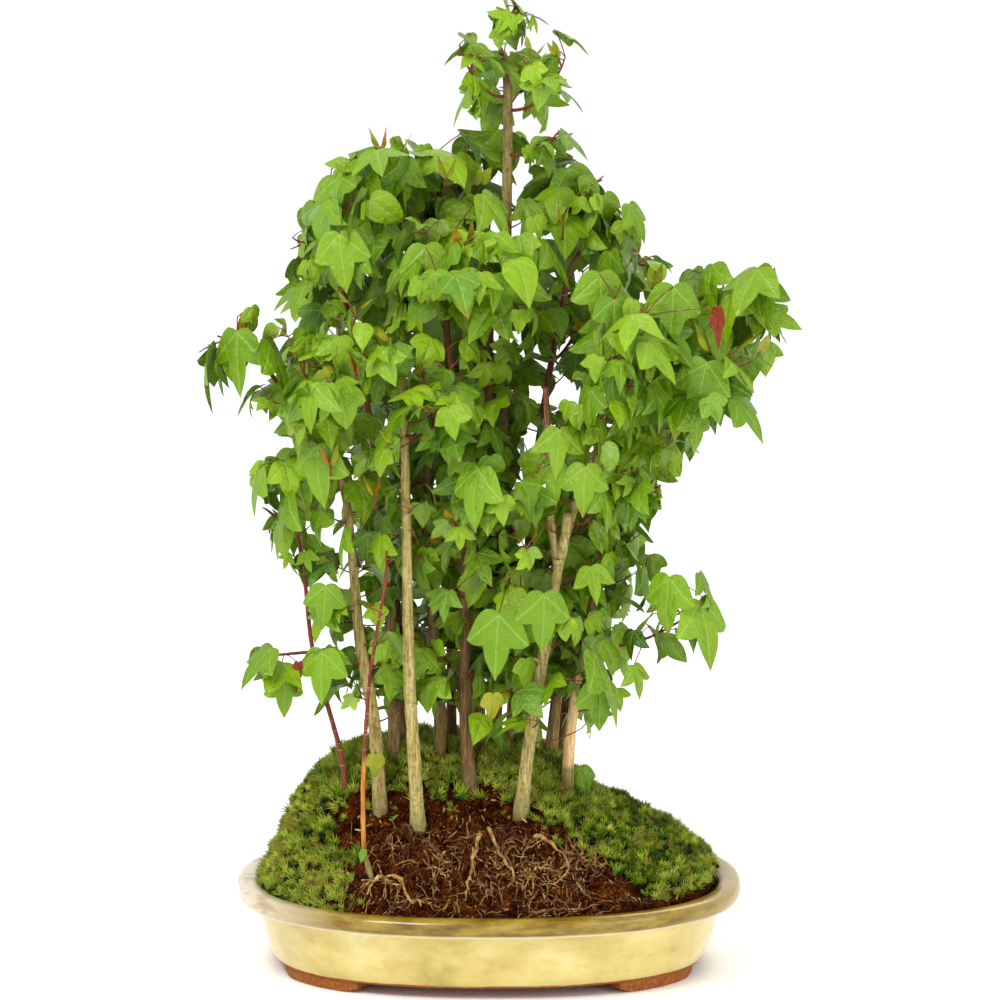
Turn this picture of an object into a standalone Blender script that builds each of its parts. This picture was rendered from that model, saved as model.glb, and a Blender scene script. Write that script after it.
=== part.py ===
"""A group planting of trident maples on a mossy mound in an oval glazed bonsai tray.

Lengths are metres and +Z is up. Everything is laid out from the middle of the plane that the
tray's feet stand on, with -Y to the front, and the last step centres the whole on the origin.
Each tree, leafy shoot, moss pad, surface root, drain screen, the soil and the tray is one body.
"""

import math
import random

import bmesh
import bpy
from mathutils import Vector
from mathutils.bvhtree import BVHTree

GAP = 0.0004  # between pieces that rest on or in each other
SMOOTH_ANGLE = math.radians(40)  # edges sharper than this stay sharp

# tray
RIM_X = 0.175  # half the length over the lip
RIM_Y = 0.135  # half the width over the lip
RIM_Z = 0.062
OVAL_POWER = 2.3  # 2 is an ellipse, more is fuller at the corners
TRAY_SIDES = 56
FLOOR_Z = 0.014  # top of the tray's floor
BASE_Z = 0.008  # underside of the tray between its feet
WALL_TOP_INSET = 0.0165  # from the lip's outer edge to the inner wall, at the top
WALL_FOOT_INSET = 0.0240  # the same, at the floor
# the tray's section from its underside round the lip to its floor: inset from the lip's edge, height
TRAY_SECTION = (
    (0.0265, 0.0080),
    (0.0215, 0.0180),
    (0.0168, 0.0340),
    (0.0145, 0.0480),
    (0.0030, 0.0490),
    (0.0004, 0.0525),
    (0.0000, 0.0560),
    (0.0012, 0.0600),
    (0.0042, 0.0620),
    (0.0125, 0.0618),
    (WALL_TOP_INSET, 0.0585),
    (WALL_FOOT_INSET, 0.0185),
    (0.0290, FLOOR_Z),
)
FOOT_OUTER_INSET = 0.0278
FOOT_WIDTH = 0.0140
FOOT_TOP = 0.0095  # inside the floor, so that each foot joins it
FOOT_SPAN = (math.radians(17), math.radians(55))  # round the oval from each end of its long axis
FOOT_STEPS = 6
FOOT_CHAMFER = 0.003
HOLE_X = 0.062  # of each drain hole, either side of the middle
HOLE_RADIUS = 0.0085
HOLE_SIDES = 20
HOLE_CUT = 0.004  # how far the cutter stands out above and below the floor
SCREEN_RADIUS = 0.0125
SCREEN_THICKNESS = 0.0012
SCREEN_SIDES = 16

# mound
MOUND_CENTRE = (-0.020, 0.030)
CROWN_Z = 0.149  # the mound's highest level
MOUND_SIDES = 40
WALL_HALVINGS = 40  # steps of the search for the tray's wall
MOUND_SHARES = (1.0, 0.94, 0.86, 0.76, 0.64, 0.50, 0.35, 0.20, 0.08)  # of the way to the tray's wall
# level part of the mound as a share of the way to the wall, height at the wall, and the slope's bend
LEFT_SLOPE = (0.60, 0.060, 1.25)
RIGHT_SLOPE = (0.34, 0.068, 0.70)
FRONT_SLOPE = (0.02, 0.056, 1.10)
BACK_SLOPE = (0.42, 0.058, 1.30)
SOIL_FOOT_INSET = 0.0310  # of the soil's underside, from the lip's outer edge
SOIL_SHOULDER_Z = 0.0190  # where the soil's underside turns up along the wall
SHOULDER_CLEARANCE = 0.0012  # between the soil and the wall there
RIM_CLEARANCE = 0.0010  # the same, at the wall's top
ROOTED = 0.013  # how deep a trunk stands in the soil
SOCKET_ABOVE = 0.014  # how far a socket's cutter stands out of the ground
SOCKET_CLEARANCE = 0.0009
SOCKET_SIDES = 10
MOSS_LIFT = 0.0012  # between the soil and a pad's underside
MOSS_DEPTH = 0.0055
MOSS_EDGE = 0.0015  # thickness at a pad's border
# each pad: first and last direction round the mound's centre in degrees, and its inner share of the way out
MOSS_PADS = {
    "moss_left": (141, 219, (0.70, 0.80, 0.90, 0.985)),
    "moss_back": (51, 138, (0.52, 0.64, 0.76, 0.88, 0.985)),
    "moss_right": (-42, 48, (0.56, 0.68, 0.80, 0.90, 0.985)),
}
MOSS_STEP = 6.5  # degrees between a pad's rows

# trees
TRUNK_SIDES = 8
ARM_SIDES = 6
YOUNG_RADIUS = 0.003  # a thinner trunk has young red bark
TRUNK_STEPS = 2  # rings between two given points of a trunk
# each tree: the trunk's route from the ground up, its radius there and at its top
TREES = {
    "tree_front_left": (
        ((-0.049, -0.042, 0.109), (-0.052, -0.043, 0.166), (-0.055, -0.044, 0.221),
         (-0.056, -0.045, 0.289), (-0.058, -0.047, 0.394), (-0.060, -0.050, 0.451)),
        0.0054, 0.0026,
    ),
    "tree_front_right": (
        ((0.023, -0.035, 0.121), (0.028, -0.037, 0.165), (0.039, -0.041, 0.234),
         (0.050, -0.045, 0.300), (0.063, -0.048, 0.345), (0.074, -0.050, 0.367),
         (0.084, -0.055, 0.426)),
        0.0052, 0.0022,
    ),
    "tree_apex": (
        ((0.003, 0.045, 0.147), (0.007, 0.040, 0.256), (0.010, 0.030, 0.401),
         (0.012, 0.020, 0.504), (0.013, 0.005, 0.616), (0.008, 0.000, 0.645)),
        0.0062, 0.0019,
    ),
    "tree_middle_front": (
        ((-0.013, -0.010, 0.132), (-0.016, -0.010, 0.177), (-0.017, -0.012, 0.289),
         (-0.022, -0.018, 0.375), (-0.034, -0.030, 0.512)),
        0.0054, 0.0021,
    ),
    "tree_middle_back": (
        ((-0.005, 0.020, 0.145), (-0.008, 0.020, 0.211), (-0.006, 0.015, 0.290),
         (-0.001, 0.000, 0.386), (0.002, -0.010, 0.455)),
        0.0050, 0.0020,
    ),
    "tree_thin": (
        ((0.014, 0.030, 0.141), (0.016, 0.030, 0.194), (0.017, 0.022, 0.260), (0.016, 0.010, 0.320)),
        0.0034, 0.0018,
    ),
    "tree_left_middle": (
        ((-0.035, 0.010, 0.140), (-0.034, 0.010, 0.177), (-0.041, 0.008, 0.277),
         (-0.043, 0.005, 0.378), (-0.052, 0.000, 0.478), (-0.063, -0.005, 0.547)),
        0.0052, 0.0020,
    ),
    "tree_back_dark": (
        ((-0.026, 0.045, 0.149), (-0.026, 0.050, 0.226), (-0.024, 0.065, 0.308), (-0.027, 0.080, 0.369)),
        0.0042, 0.0019,
    ),
    "tree_left_upper": (
        ((-0.066, 0.000, 0.136), (-0.066, 0.000, 0.177), (-0.070, 0.002, 0.264),
         (-0.080, 0.005, 0.370), (-0.105, 0.012, 0.497)),
        0.0048, 0.0019,
    ),
    "tree_left_back": (
        ((-0.060, 0.020, 0.142), (-0.061, 0.022, 0.203), (-0.065, 0.035, 0.257),
         (-0.072, 0.055, 0.310), (-0.086, 0.075, 0.363)),
        0.0042, 0.0018,
    ),
    "tree_left_arm": (
        ((-0.075, -0.030, 0.117), (-0.079, -0.032, 0.178), (-0.089, -0.034, 0.239),
         (-0.098, -0.036, 0.336), (-0.110, -0.036, 0.360), (-0.129, -0.035, 0.390),
         (-0.152, -0.034, 0.429)),
        0.0056, 0.0017,
    ),
    "tree_left_whip": (
        ((-0.099, -0.020, 0.118), (-0.102, -0.022, 0.152), (-0.114, -0.026, 0.199),
         (-0.122, -0.028, 0.232), (-0.128, -0.030, 0.289), (-0.136, -0.032, 0.334)),
        0.0026, 0.0014,
    ),
    "tree_sapling": (
        ((-0.083, -0.075, 0.086), (-0.086, -0.074, 0.102), (-0.086, -0.072, 0.155),
         (-0.081, -0.069, 0.223), (-0.071, -0.067, 0.285), (-0.070, -0.067, 0.307)),
        0.0021, 0.0012,
    ),
    "tree_right_torn": (
        ((0.054, 0.000, 0.127), (0.058, 0.000, 0.175), (0.069, 0.002, 0.242),
         (0.073, 0.004, 0.271), (0.081, 0.000, 0.322), (0.093, -0.005, 0.365)),
        0.0046, 0.0018,
    ),
    "tree_right_arm": (
        ((0.043, 0.030, 0.142), (0.049, 0.030, 0.194), (0.061, 0.030, 0.244),
         (0.076, 0.028, 0.287), (0.093, 0.022, 0.338), (0.125, 0.004, 0.428)),
        0.0048, 0.0018,
    ),
    "tree_right_back": (
        ((0.050, 0.050, 0.129), (0.055, 0.050, 0.183), (0.063, 0.055, 0.225),
         (0.077, 0.070, 0.278), (0.091, 0.085, 0.332)),
        0.0042, 0.0018,
    ),
    "tree_right_upper": (
        ((0.022, 0.047, 0.145), (0.025, 0.045, 0.220), (0.029, 0.042, 0.299),
         (0.038, 0.036, 0.385), (0.054, 0.028, 0.479)),
        0.0048, 0.0020,
    ),
}
# thicker side branches, each joined to its tree: the tree, the branch's route, its radius at both ends
ARMS = (
    ("tree_front_right", ((0.048, -0.0445, 0.292), (0.042, -0.046, 0.331), (0.042, -0.047, 0.362),
                          (0.039, -0.050, 0.418)), 0.0034, 0.0020),
    ("tree_front_right", ((0.0495, -0.0450, 0.298), (0.0520, -0.0500, 0.312), (0.054, -0.052, 0.331)),
     0.0036, 0.0031),
)

ROOT_SIDES = 6
ROOT_STEP = 0.004
ROOT_TAPER = 0.6  # radius at the root's end as a share of where it starts
# roots that lie on the soil in front, seen from above, and their radius where they start
SURFACE_ROOTS = {
    "root_sapling": (((-0.078, -0.080), (-0.070, -0.079), (-0.062, -0.083), (-0.054, -0.096),
                      (-0.045, -0.106)), 0.0015),
    "root_middle": (((-0.006, -0.052), (-0.012, -0.076), (-0.016, -0.104)), 0.0014),
    "root_centre": (((0.000, -0.050), (0.011, -0.069), (0.023, -0.094)), 0.0013),
    "root_right": (((0.032, -0.051), (0.046, -0.060), (0.055, -0.072), (0.049, -0.086)), 0.0014),
    "root_front": (((0.030, -0.109), (0.053, -0.103), (0.077, -0.098)), 0.0011),
}

# leafy shoots
STEM_RADIUS = 0.0013
STEM_TAPER = 0.25  # share of the radius that is lost towards the tip
STEM_STEPS = 20
STEM_BOW = 0.45  # how far a stem keeps its first direction, as a share of its length
STEM_SINK = 0.3  # how far a stem's end lies under the bark's flats, as a share of its radius
UPRIGHT = 0.75  # a stem that rises more steeply than this has its pairs set crosswise
PAIRS_START = 0.38  # share of the stem below its first pair
PAIRS_STRETCH = 0.60  # share of the stem that carries the pairs
NODE_HALF = 0.0013  # half the length of the stem's piece that bears a pair
NODE_SPAN = 0.02  # share of the stem either side of a pair that gives its direction there
NODE_REACH = 0.0022  # how near to a pair's middle its faces are
NODE_NEARNESS = 200  # what a metre off that middle counts for, against a face's direction
LEAF_THICKNESS = 0.0008
LEAF_TRIES = 9
PETIOLE_HALF = 0.0006
TRIAL_START = 0.0012  # a trial leaf starts this far off the stem
TRIAL_HALF = 0.0007
PETIOLE_SHARE = 0.34  # of the leaf's length
PETIOLE_LIFT = (0.02, 0.22)  # how far it rises, as a share of the leaf's length
LEAF_DROOP = (25, 72)  # degrees, where the blade starts
LEAF_SIZE = (0.82, 1.08)
LEAF_SWAY = 0.5  # radians, either way
LEAF_BEND = 0.16  # radians, from one section of the blade to the next
LEAF_STEEPEST = math.radians(84)
LEAF_SEED = 100
# a three-lobed blade as shares of its length: how far along the midrib, and half the width there
BLADE = ((0.40, 0.50), (0.50, 0.21), (0.72, 0.16), (1.00, 0.015))
# each leafy shoot: its tree, the height where it leaves it (None is the tree's top), its tip,
# its leaf pairs and its leaf length
SHOOTS = {
    "shoot_crown_tip": ("tree_apex", None, (0.022, 0.000, 0.688), 2, 0.032),
    "shoot_crown_left": ("tree_apex", 0.612, (-0.020, -0.015, 0.650), 2, 0.033),
    "shoot_crown_right": ("tree_apex", 0.603, (0.055, -0.020, 0.648), 3, 0.034),
    "shoot_crown_back": ("tree_apex", 0.590, (0.010, 0.050, 0.630), 2, 0.034),
    "shoot_crown_low": ("tree_apex", 0.572, (0.048, -0.030, 0.592), 2, 0.036),
    "shoot_neck_right": ("tree_apex", 0.530, (0.078, 0.030, 0.548), 3, 0.042),
    "shoot_shoulder_top": ("tree_left_middle", None, (-0.078, -0.018, 0.585), 2, 0.038),
    "shoot_shoulder_left": ("tree_left_middle", 0.525, (-0.112, -0.036, 0.556), 3, 0.044),
    "shoot_shoulder_back": ("tree_left_middle", 0.500, (-0.030, 0.045, 0.556), 3, 0.042),
    "shoot_shoulder_front": ("tree_left_middle", 0.470, (-0.018, -0.070, 0.528), 3, 0.046),
    "shoot_left_upper": ("tree_left_upper", None, (-0.138, 0.000, 0.508), 3, 0.042),
    "shoot_left_upper_back": ("tree_left_upper", 0.445, (-0.110, 0.085, 0.500), 3, 0.042),
    "shoot_left_arm": ("tree_left_arm", None, (-0.186, -0.040, 0.452), 3, 0.044),
    "shoot_left_arm_front": ("tree_left_arm", 0.386, (-0.126, -0.082, 0.452), 3, 0.042),
    "shoot_left_whip": ("tree_left_whip", None, (-0.152, -0.038, 0.362), 3, 0.036),
    "shoot_left_low": ("tree_left_whip", 0.229, (-0.162, -0.040, 0.226), 2, 0.032),
    "shoot_left_back": ("tree_left_back", None, (-0.118, 0.108, 0.390), 3, 0.040),
    "shoot_front_left": ("tree_front_left", 0.436, (-0.100, -0.090, 0.446), 3, 0.036),
    "shoot_front_middle": ("tree_front_left", 0.385, (-0.026, -0.104, 0.420), 3, 0.036),
    "shoot_middle_front": ("tree_middle_front", 0.345, (0.010, -0.085, 0.345), 3, 0.036),
    "shoot_middle_top": ("tree_middle_back", None, (0.022, -0.050, 0.502), 3, 0.042),
    "shoot_back_dark": ("tree_back_dark", None, (-0.032, 0.122, 0.430), 3, 0.040),
    "shoot_right_upper": ("tree_right_upper", None, (0.096, 0.012, 0.532), 3, 0.044),
    "shoot_right_upper_back": ("tree_right_upper", 0.420, (0.075, 0.105, 0.470), 3, 0.042),
    "shoot_right_arm": ("tree_right_arm", None, (0.196, -0.018, 0.482), 3, 0.046),
    "shoot_right_arm_front": ("tree_right_arm", 0.385, (0.160, -0.062, 0.432), 3, 0.044),
    "shoot_front_right": ("tree_front_right", None, (0.104, -0.100, 0.452), 3, 0.040),
    "shoot_right_torn": ("tree_right_torn", 0.338, (0.118, -0.062, 0.352), 2, 0.034),
    "shoot_right_low": ("tree_right_torn", 0.226, (0.150, -0.048, 0.262), 2, 0.038),
    "shoot_right_back": ("tree_right_back", None, (0.134, 0.104, 0.362), 3, 0.040),
}

# piece: colour, roughness, metallic
FINISHES = {
    "glaze": ((0.72, 0.66, 0.40), 0.18, 0.0),
    "screen": ((0.05, 0.05, 0.05), 0.6, 0.0),
    "soil": ((0.06, 0.03, 0.02), 0.95, 0.0),
    "moss": ((0.10, 0.20, 0.04), 0.9, 0.0),
    "bark": ((0.42, 0.33, 0.20), 0.85, 0.0),
    "young_bark": ((0.32, 0.09, 0.05), 0.55, 0.0),
    "root": ((0.50, 0.38, 0.22), 0.8, 0.0),
    "leaf": ((0.16, 0.33, 0.06), 0.42, 0.0),
}


def clear_scene():
    for obj in list(bpy.data.objects):
        bpy.data.objects.remove(obj, do_unlink=True)


def finish(name):
    colour, roughness, metallic = FINISHES[name]
    material = bpy.data.materials.new(name)
    material.use_nodes = True
    shader = material.node_tree.nodes["Principled BSDF"]
    shader.inputs["Base Color"].default_value = (*colour, 1.0)
    shader.inputs["Roughness"].default_value = roughness
    shader.inputs["Metallic"].default_value = metallic
    return material


def add_piece(name, bm, material, parent, origin=(0.0, 0.0, 0.0)):
    """Makes an object of a bmesh that is laid out in the planting's frame, with its own origin."""
    bmesh.ops.translate(bm, verts=bm.verts, vec=-Vector(origin))
    mesh = bpy.data.meshes.new(name)
    bm.to_mesh(mesh)
    bm.free()
    mesh.shade_smooth()
    mesh.set_sharp_from_angle(angle=SMOOTH_ANGLE)
    obj = bpy.data.objects.new(name, mesh)
    bpy.context.scene.collection.objects.link(obj)
    obj.location = origin
    obj.parent = parent
    if material:
        mesh.materials.append(material)
    return obj


def add_helper(name, bm, parent):
    """A cutter, or a shape that is joined to another: not a piece of its own."""
    obj = add_piece(name, bm, None, parent)
    obj.hide_render = True
    obj.display_type = "WIRE"
    return obj


def combine(obj, helper, operation):
    modifier = obj.modifiers.new(f"{operation.lower()} {helper.name}", "BOOLEAN")
    modifier.operation = operation
    modifier.solver = "EXACT"
    modifier.object = helper


def grow_face(bm, face, ring):
    """Extrudes one face on to this ring of points, which are in the order of its corners."""
    grown = bmesh.ops.extrude_discrete_faces(bm, faces=[face])["faces"][0]
    for vert, point in zip(grown.verts, ring):
        vert.co = point
    return grown


def loft(rings, bm=None):
    """A closed body through rings of points, each counter-clockwise seen from the last one."""
    bm = bm or bmesh.new()
    first = [bm.verts.new(point) for point in rings[0]]
    cap = bm.faces.new(first)
    for ring in rings[1:]:
        cap = grow_face(bm, cap, ring)
    bm.faces.new(first[::-1])
    return bm


def oval(inset, height):
    """Points round the tray, this far in from its lip."""
    return [oval_point(2 * math.pi * i / TRAY_SIDES, inset, height) for i in range(TRAY_SIDES)]


def oval_point(turn, inset, height):
    cosine, sine = math.cos(turn), math.sin(turn)
    x = math.copysign(abs(cosine) ** (2 / OVAL_POWER), cosine) * (RIM_X - inset)
    y = math.copysign(abs(sine) ** (2 / OVAL_POWER), sine) * (RIM_Y - inset)
    return Vector((x, y, height))


def smooth_route(points, steps):
    """A Catmull-Rom curve through the points, with this many steps from each to the next."""
    points = [Vector(point) for point in points]
    padded = [2 * points[0] - points[1], *points, 2 * points[-1] - points[-2]]
    route = []
    for a, b, c, d in zip(padded, padded[1:], padded[2:], padded[3:]):
        for step in range(steps):
            t = step / steps
            route.append(
                0.5 * (2 * b + (c - a) * t + (2 * a - 5 * b + 4 * c - d) * t**2
                       + (3 * b - a - 3 * c + d) * t**3)
            )
    return route + [points[-1]]


def tube_rings(route, radii, sides):
    """Rings square to a route, carried along it without a twist."""
    rings = []
    side = Vector((1.0, 0.0, 0.0))
    for i, (point, radius) in enumerate(zip(route, radii)):
        along = (route[min(i + 1, len(route) - 1)] - route[max(i - 1, 0)]).normalized()
        side = (side - along * side.dot(along)).normalized()
        up = along.cross(side)
        ring = []
        for k in range(sides):
            turn = 2 * math.pi * k / sides
            ring.append(point + (side * math.cos(turn) + up * math.sin(turn)) * radius)
        rings.append(ring)
    return rings


def tapered(route, start, end):
    """A radius for each point of the route, thinning evenly along it."""
    last = len(route) - 1
    return [start + (end - start) * i / last for i in range(last + 1)]


def disc(x, radius, low, high, sides):
    ring = [(x + radius * math.cos(2 * math.pi * i / sides), radius * math.sin(2 * math.pi * i / sides))
            for i in range(sides)]
    return [[Vector((px, py, z)) for px, py in ring] for z in (low, high)]


def tray_foot(mirror_x, mirror_y):
    """One foot: a bar with chamfered ends that follows the oval's corner."""
    first, last = FOOT_SPAN
    rings = []
    for i in range(FOOT_STEPS + 1):
        turn = first + (last - first) * i / FOOT_STEPS
        chamfer = FOOT_CHAMFER if i in (0, FOOT_STEPS) else 0.0
        outer = FOOT_OUTER_INSET
        inner = outer + FOOT_WIDTH
        corners = ((inner, chamfer), (outer, chamfer), (outer, FOOT_TOP), (inner, FOOT_TOP))
        ring = [oval_point(turn, inset, height) for inset, height in corners]
        rings.append([Vector((p.x * mirror_x, p.y * mirror_y, p.z)) for p in ring])
    bm = loft(rings)
    bmesh.ops.recalc_face_normals(bm, faces=bm.faces)
    return bm


def make_tray(parent):
    rings = [oval(inset, height) for inset, height in TRAY_SECTION]
    tray = add_piece("pot", loft(rings), finish("glaze"), parent)
    for mirror_x in (-1, 1):
        for mirror_y in (-1, 1):
            foot = tray_foot(mirror_x, mirror_y)
            combine(tray, add_helper("foot", foot, parent), "UNION")
    holes = bmesh.new()
    for x in (-HOLE_X, HOLE_X):
        loft(disc(x, HOLE_RADIUS, BASE_Z - HOLE_CUT, FLOOR_Z + HOLE_CUT, HOLE_SIDES), holes)
    combine(tray, add_helper("drain_holes", holes, parent), "DIFFERENCE")


def make_screens(parent):
    for name, x in (("drain_screen_left", -HOLE_X), ("drain_screen_right", HOLE_X)):
        rings = disc(0.0, SCREEN_RADIUS, 0.0, SCREEN_THICKNESS, SCREEN_SIDES)
        screen = add_piece(name, loft(rings), finish("screen"), parent)
        screen.location = (x, 0.0, FLOOR_Z + GAP)


def reach(turn, inset):
    """How far the tray's inner oval is from the mound's centre, in this direction."""
    near, far = 0.0, 2 * RIM_X
    for _ in range(WALL_HALVINGS):
        middle = (near + far) / 2
        x = abs(MOUND_CENTRE[0] + middle * math.cos(turn)) / (RIM_X - inset)
        y = abs(MOUND_CENTRE[1] + middle * math.sin(turn)) / (RIM_Y - inset)
        if x**OVAL_POWER + y**OVAL_POWER < 1:
            near = middle
        else:
            far = middle
    return near


def slope_at(turn):
    """Level share, wall height and bend of the mound's slope in this direction."""
    across = LEFT_SLOPE if math.cos(turn) < 0 else RIGHT_SLOPE
    along = FRONT_SLOPE if math.sin(turn) < 0 else BACK_SLOPE
    weight = math.cos(turn) ** 2
    return [a * weight + b * (1 - weight) for a, b in zip(across, along)]


def mound_point(turn, share, inset, lift=0.0):
    """A point on the mound, this share of the way from its centre to the tray's wall."""
    level, wall_z, bend = slope_at(turn)
    fall = max(0.0, (share - level) / (1 - level)) ** bend
    distance = reach(turn, inset) * share
    return Vector((
        MOUND_CENTRE[0] + distance * math.cos(turn),
        MOUND_CENTRE[1] + distance * math.sin(turn),
        CROWN_Z - (CROWN_Z - wall_z) * fall + lift,
    ))


def soil_mesh():
    turns = [2 * math.pi * i / MOUND_SIDES for i in range(MOUND_SIDES)]
    top_inset = WALL_TOP_INSET + RIM_CLEARANCE
    shoulder_inset = WALL_FOOT_INSET + SHOULDER_CLEARANCE
    rings = []
    for inset, height in ((SOIL_FOOT_INSET, FLOOR_Z + GAP), (shoulder_inset, SOIL_SHOULDER_Z)):
        ring = []
        for turn in turns:
            point = mound_point(turn, 1.0, inset)
            point.z = height
            ring.append(point)
        rings.append(ring)
    for share in MOUND_SHARES:
        rings.append([mound_point(turn, share, top_inset) for turn in turns])
    return loft(rings)


def moss_mesh(first, last, shares):
    """A pad on the mound: a sheet of rows and columns, raised over its whole underside."""
    rows = round((last - first) / MOSS_STEP)
    inset = WALL_TOP_INSET + RIM_CLEARANCE
    bm = bmesh.new()
    under, over = [], []
    for row in range(rows + 1):
        turn = math.radians(first + (last - first) * row / rows)
        for column, share in enumerate(shares):
            border = row in (0, rows) or column == 0 or column == len(shares) - 1
            depth = MOSS_EDGE if border else MOSS_DEPTH
            low = mound_point(turn, share, inset, MOSS_LIFT)
            under.append(bm.verts.new(low))
            over.append(bm.verts.new(low + Vector((0.0, 0.0, depth))))
    width = len(shares)
    for row in range(rows):
        for column in range(width - 1):
            a = row * width + column
            cell = (a, a + 1, a + 1 + width, a + width)
            bm.faces.new([over[i] for i in cell])
            bm.faces.new([under[i] for i in cell[::-1]])
    rim = [edge for edge in bm.edges if edge.is_boundary and edge.verts[0] in set(under)]
    top = [edge for edge in bm.edges if edge.is_boundary and edge not in rim]
    bmesh.ops.bridge_loops(bm, edges=rim + top)
    bmesh.ops.recalc_face_normals(bm, faces=bm.faces)
    return bm


class Obstacles:
    """What is already in place, so that a leaf can be tried before it is grown."""

    def __init__(self):
        self.shapes = []

    def add(self, bm):
        corners = [vert.co for vert in bm.verts]
        low = [min(c[i] for c in corners) for i in range(3)]
        high = [max(c[i] for c in corners) for i in range(3)]
        self.shapes.append((low, high, BVHTree.FromBMesh(bm)))

    def hit(self, bm):
        corners = [vert.co for vert in bm.verts]
        low = [min(c[i] for c in corners) for i in range(3)]
        high = [max(c[i] for c in corners) for i in range(3)]
        tree = BVHTree.FromBMesh(bm)
        for other_low, other_high, other in self.shapes:
            apart = any(high[i] < other_low[i] or low[i] > other_high[i] for i in range(3))
            if not apart and tree.overlap(other):
                return True
        return False


def tree_route(points):
    """The trunk's centre line, from its foot in the soil."""
    route = smooth_route(points, TRUNK_STEPS)
    down = (route[0] - route[1]).normalized()
    return [route[0] + down * ROOTED, *route]


def trunk_radius(route, start, end, height):
    """The trunk's centre and radius at this height."""
    radii = [start, *tapered(route[1:], start, end)]
    for i in range(len(route) - 1):
        if route[i].z <= height <= route[i + 1].z:
            t = (height - route[i].z) / (route[i + 1].z - route[i].z)
            return route[i].lerp(route[i + 1], t), radii[i] + (radii[i + 1] - radii[i]) * t
    return route[-1], radii[-1]


def make_trees(parent, obstacles):
    for name, (points, start, end) in TREES.items():
        route = tree_route(points)
        radii = [start, *tapered(route[1:], start, end)]
        bark = "young_bark" if start < YOUNG_RADIUS else "bark"
        trunk = loft(tube_rings(route, radii, TRUNK_SIDES))
        bmesh.ops.triangulate(trunk, faces=trunk.faces)
        obstacles.add(trunk)
        tree = add_piece(name, trunk, finish(bark), parent, origin=points[0])
        for owner, arm_points, arm_start, arm_end in ARMS:
            if owner != name:
                continue
            arm_route = smooth_route(arm_points, TRUNK_STEPS)
            arm = loft(tube_rings(arm_route, tapered(arm_route, arm_start, arm_end), ARM_SIDES))
            obstacles.add(arm)
            combine(tree, add_helper(f"arm of {name}", arm, parent), "UNION")


def socket_mesh():
    """A hole in the soil for each trunk, and a recess over each drain screen."""
    sockets = bmesh.new()
    for points, start, _ in TREES.values():
        foot, ground = tree_route(points)[:2]
        along = (ground - foot).normalized()
        route = [foot - along * SOCKET_CLEARANCE, ground + along * SOCKET_ABOVE]
        radius = start + SOCKET_CLEARANCE
        loft(tube_rings(route, (radius, radius), SOCKET_SIDES), sockets)
    top = FLOOR_Z + 2 * GAP + SCREEN_THICKNESS
    for x in (-HOLE_X, HOLE_X):
        loft(disc(x, SCREEN_RADIUS + GAP, BASE_Z, top, SCREEN_SIDES), sockets)
    return sockets


def make_roots(parent, ground, obstacles):
    for name, (points, radius) in SURFACE_ROOTS.items():
        length = sum((Vector(b) - Vector(a)).length for a, b in zip(points, points[1:]))
        steps = max(1, round(length / ROOT_STEP / (len(points) - 1)))
        route = []
        for point in smooth_route([(x, y, 0.0) for x, y in points], steps):
            hit, normal, _, _ = ground.ray_cast(Vector((point.x, point.y, 1.0)), Vector((0, 0, -1)))
            route.append(hit + normal * (radius + 2 * GAP))
        bm = loft(tube_rings(route, tapered(route, radius, radius * ROOT_TAPER), ROOT_SIDES))
        obstacles.add(bm)
        add_piece(name, bm, finish("root"), parent, origin=route[0])


def section(centre, side, up, half_width, half_height):
    """Four corners, counter-clockwise seen from where side x up points to."""
    corners = ((-1, -1), (1, -1), (1, 1), (-1, 1))
    return [centre + side * (half_width * x) + up * (half_height * y) for x, y in corners]


def leaf_sections(base, outward, lift, steepness, length, spare):
    """A petiole that rises outwards, and a lobed blade that hangs from its end."""
    level = Vector((outward.x, outward.y, 0.0)).normalized()
    down = Vector((0.0, 0.0, -1.0))
    side = level.cross(Vector((0.0, 0.0, 1.0))).normalized()
    half = LEAF_THICKNESS / 2 + spare
    joint = base + level * (PETIOLE_SHARE * length) - down * (lift * length)
    midrib = (level * math.cos(steepness) + down * math.sin(steepness)).normalized()
    sections = [section(joint, side, -side.cross(midrib), PETIOLE_HALF + spare, half)]
    point = joint
    along = 0.0
    bend = steepness
    for share, half_width in BLADE:
        point = point + midrib * ((share - along) * length)
        along = share
        bend = min(bend + LEAF_BEND, LEAF_STEEPEST)
        width = half_width * length + spare
        sections.append(section(point, side, -side.cross(midrib), max(width, PETIOLE_HALF), half))
        midrib = (level * math.cos(bend) + down * math.sin(bend)).normalized()
    return sections


def best_order(face, ring):
    """The ring's corners in the order that leaves the walls from this face untwisted."""
    centre = face.calc_center_median()
    ring_centre = sum(ring, Vector()) / 4
    offsets = [(vert.co - centre).normalized() for vert in face.verts]
    scores = []
    for turn in range(4):
        turned = ring[turn:] + ring[:turn]
        score = sum(a.dot((b - ring_centre).normalized()) for a, b in zip(offsets, turned))
        scores.append((score, turn))
    return max(scores)[1]


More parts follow.
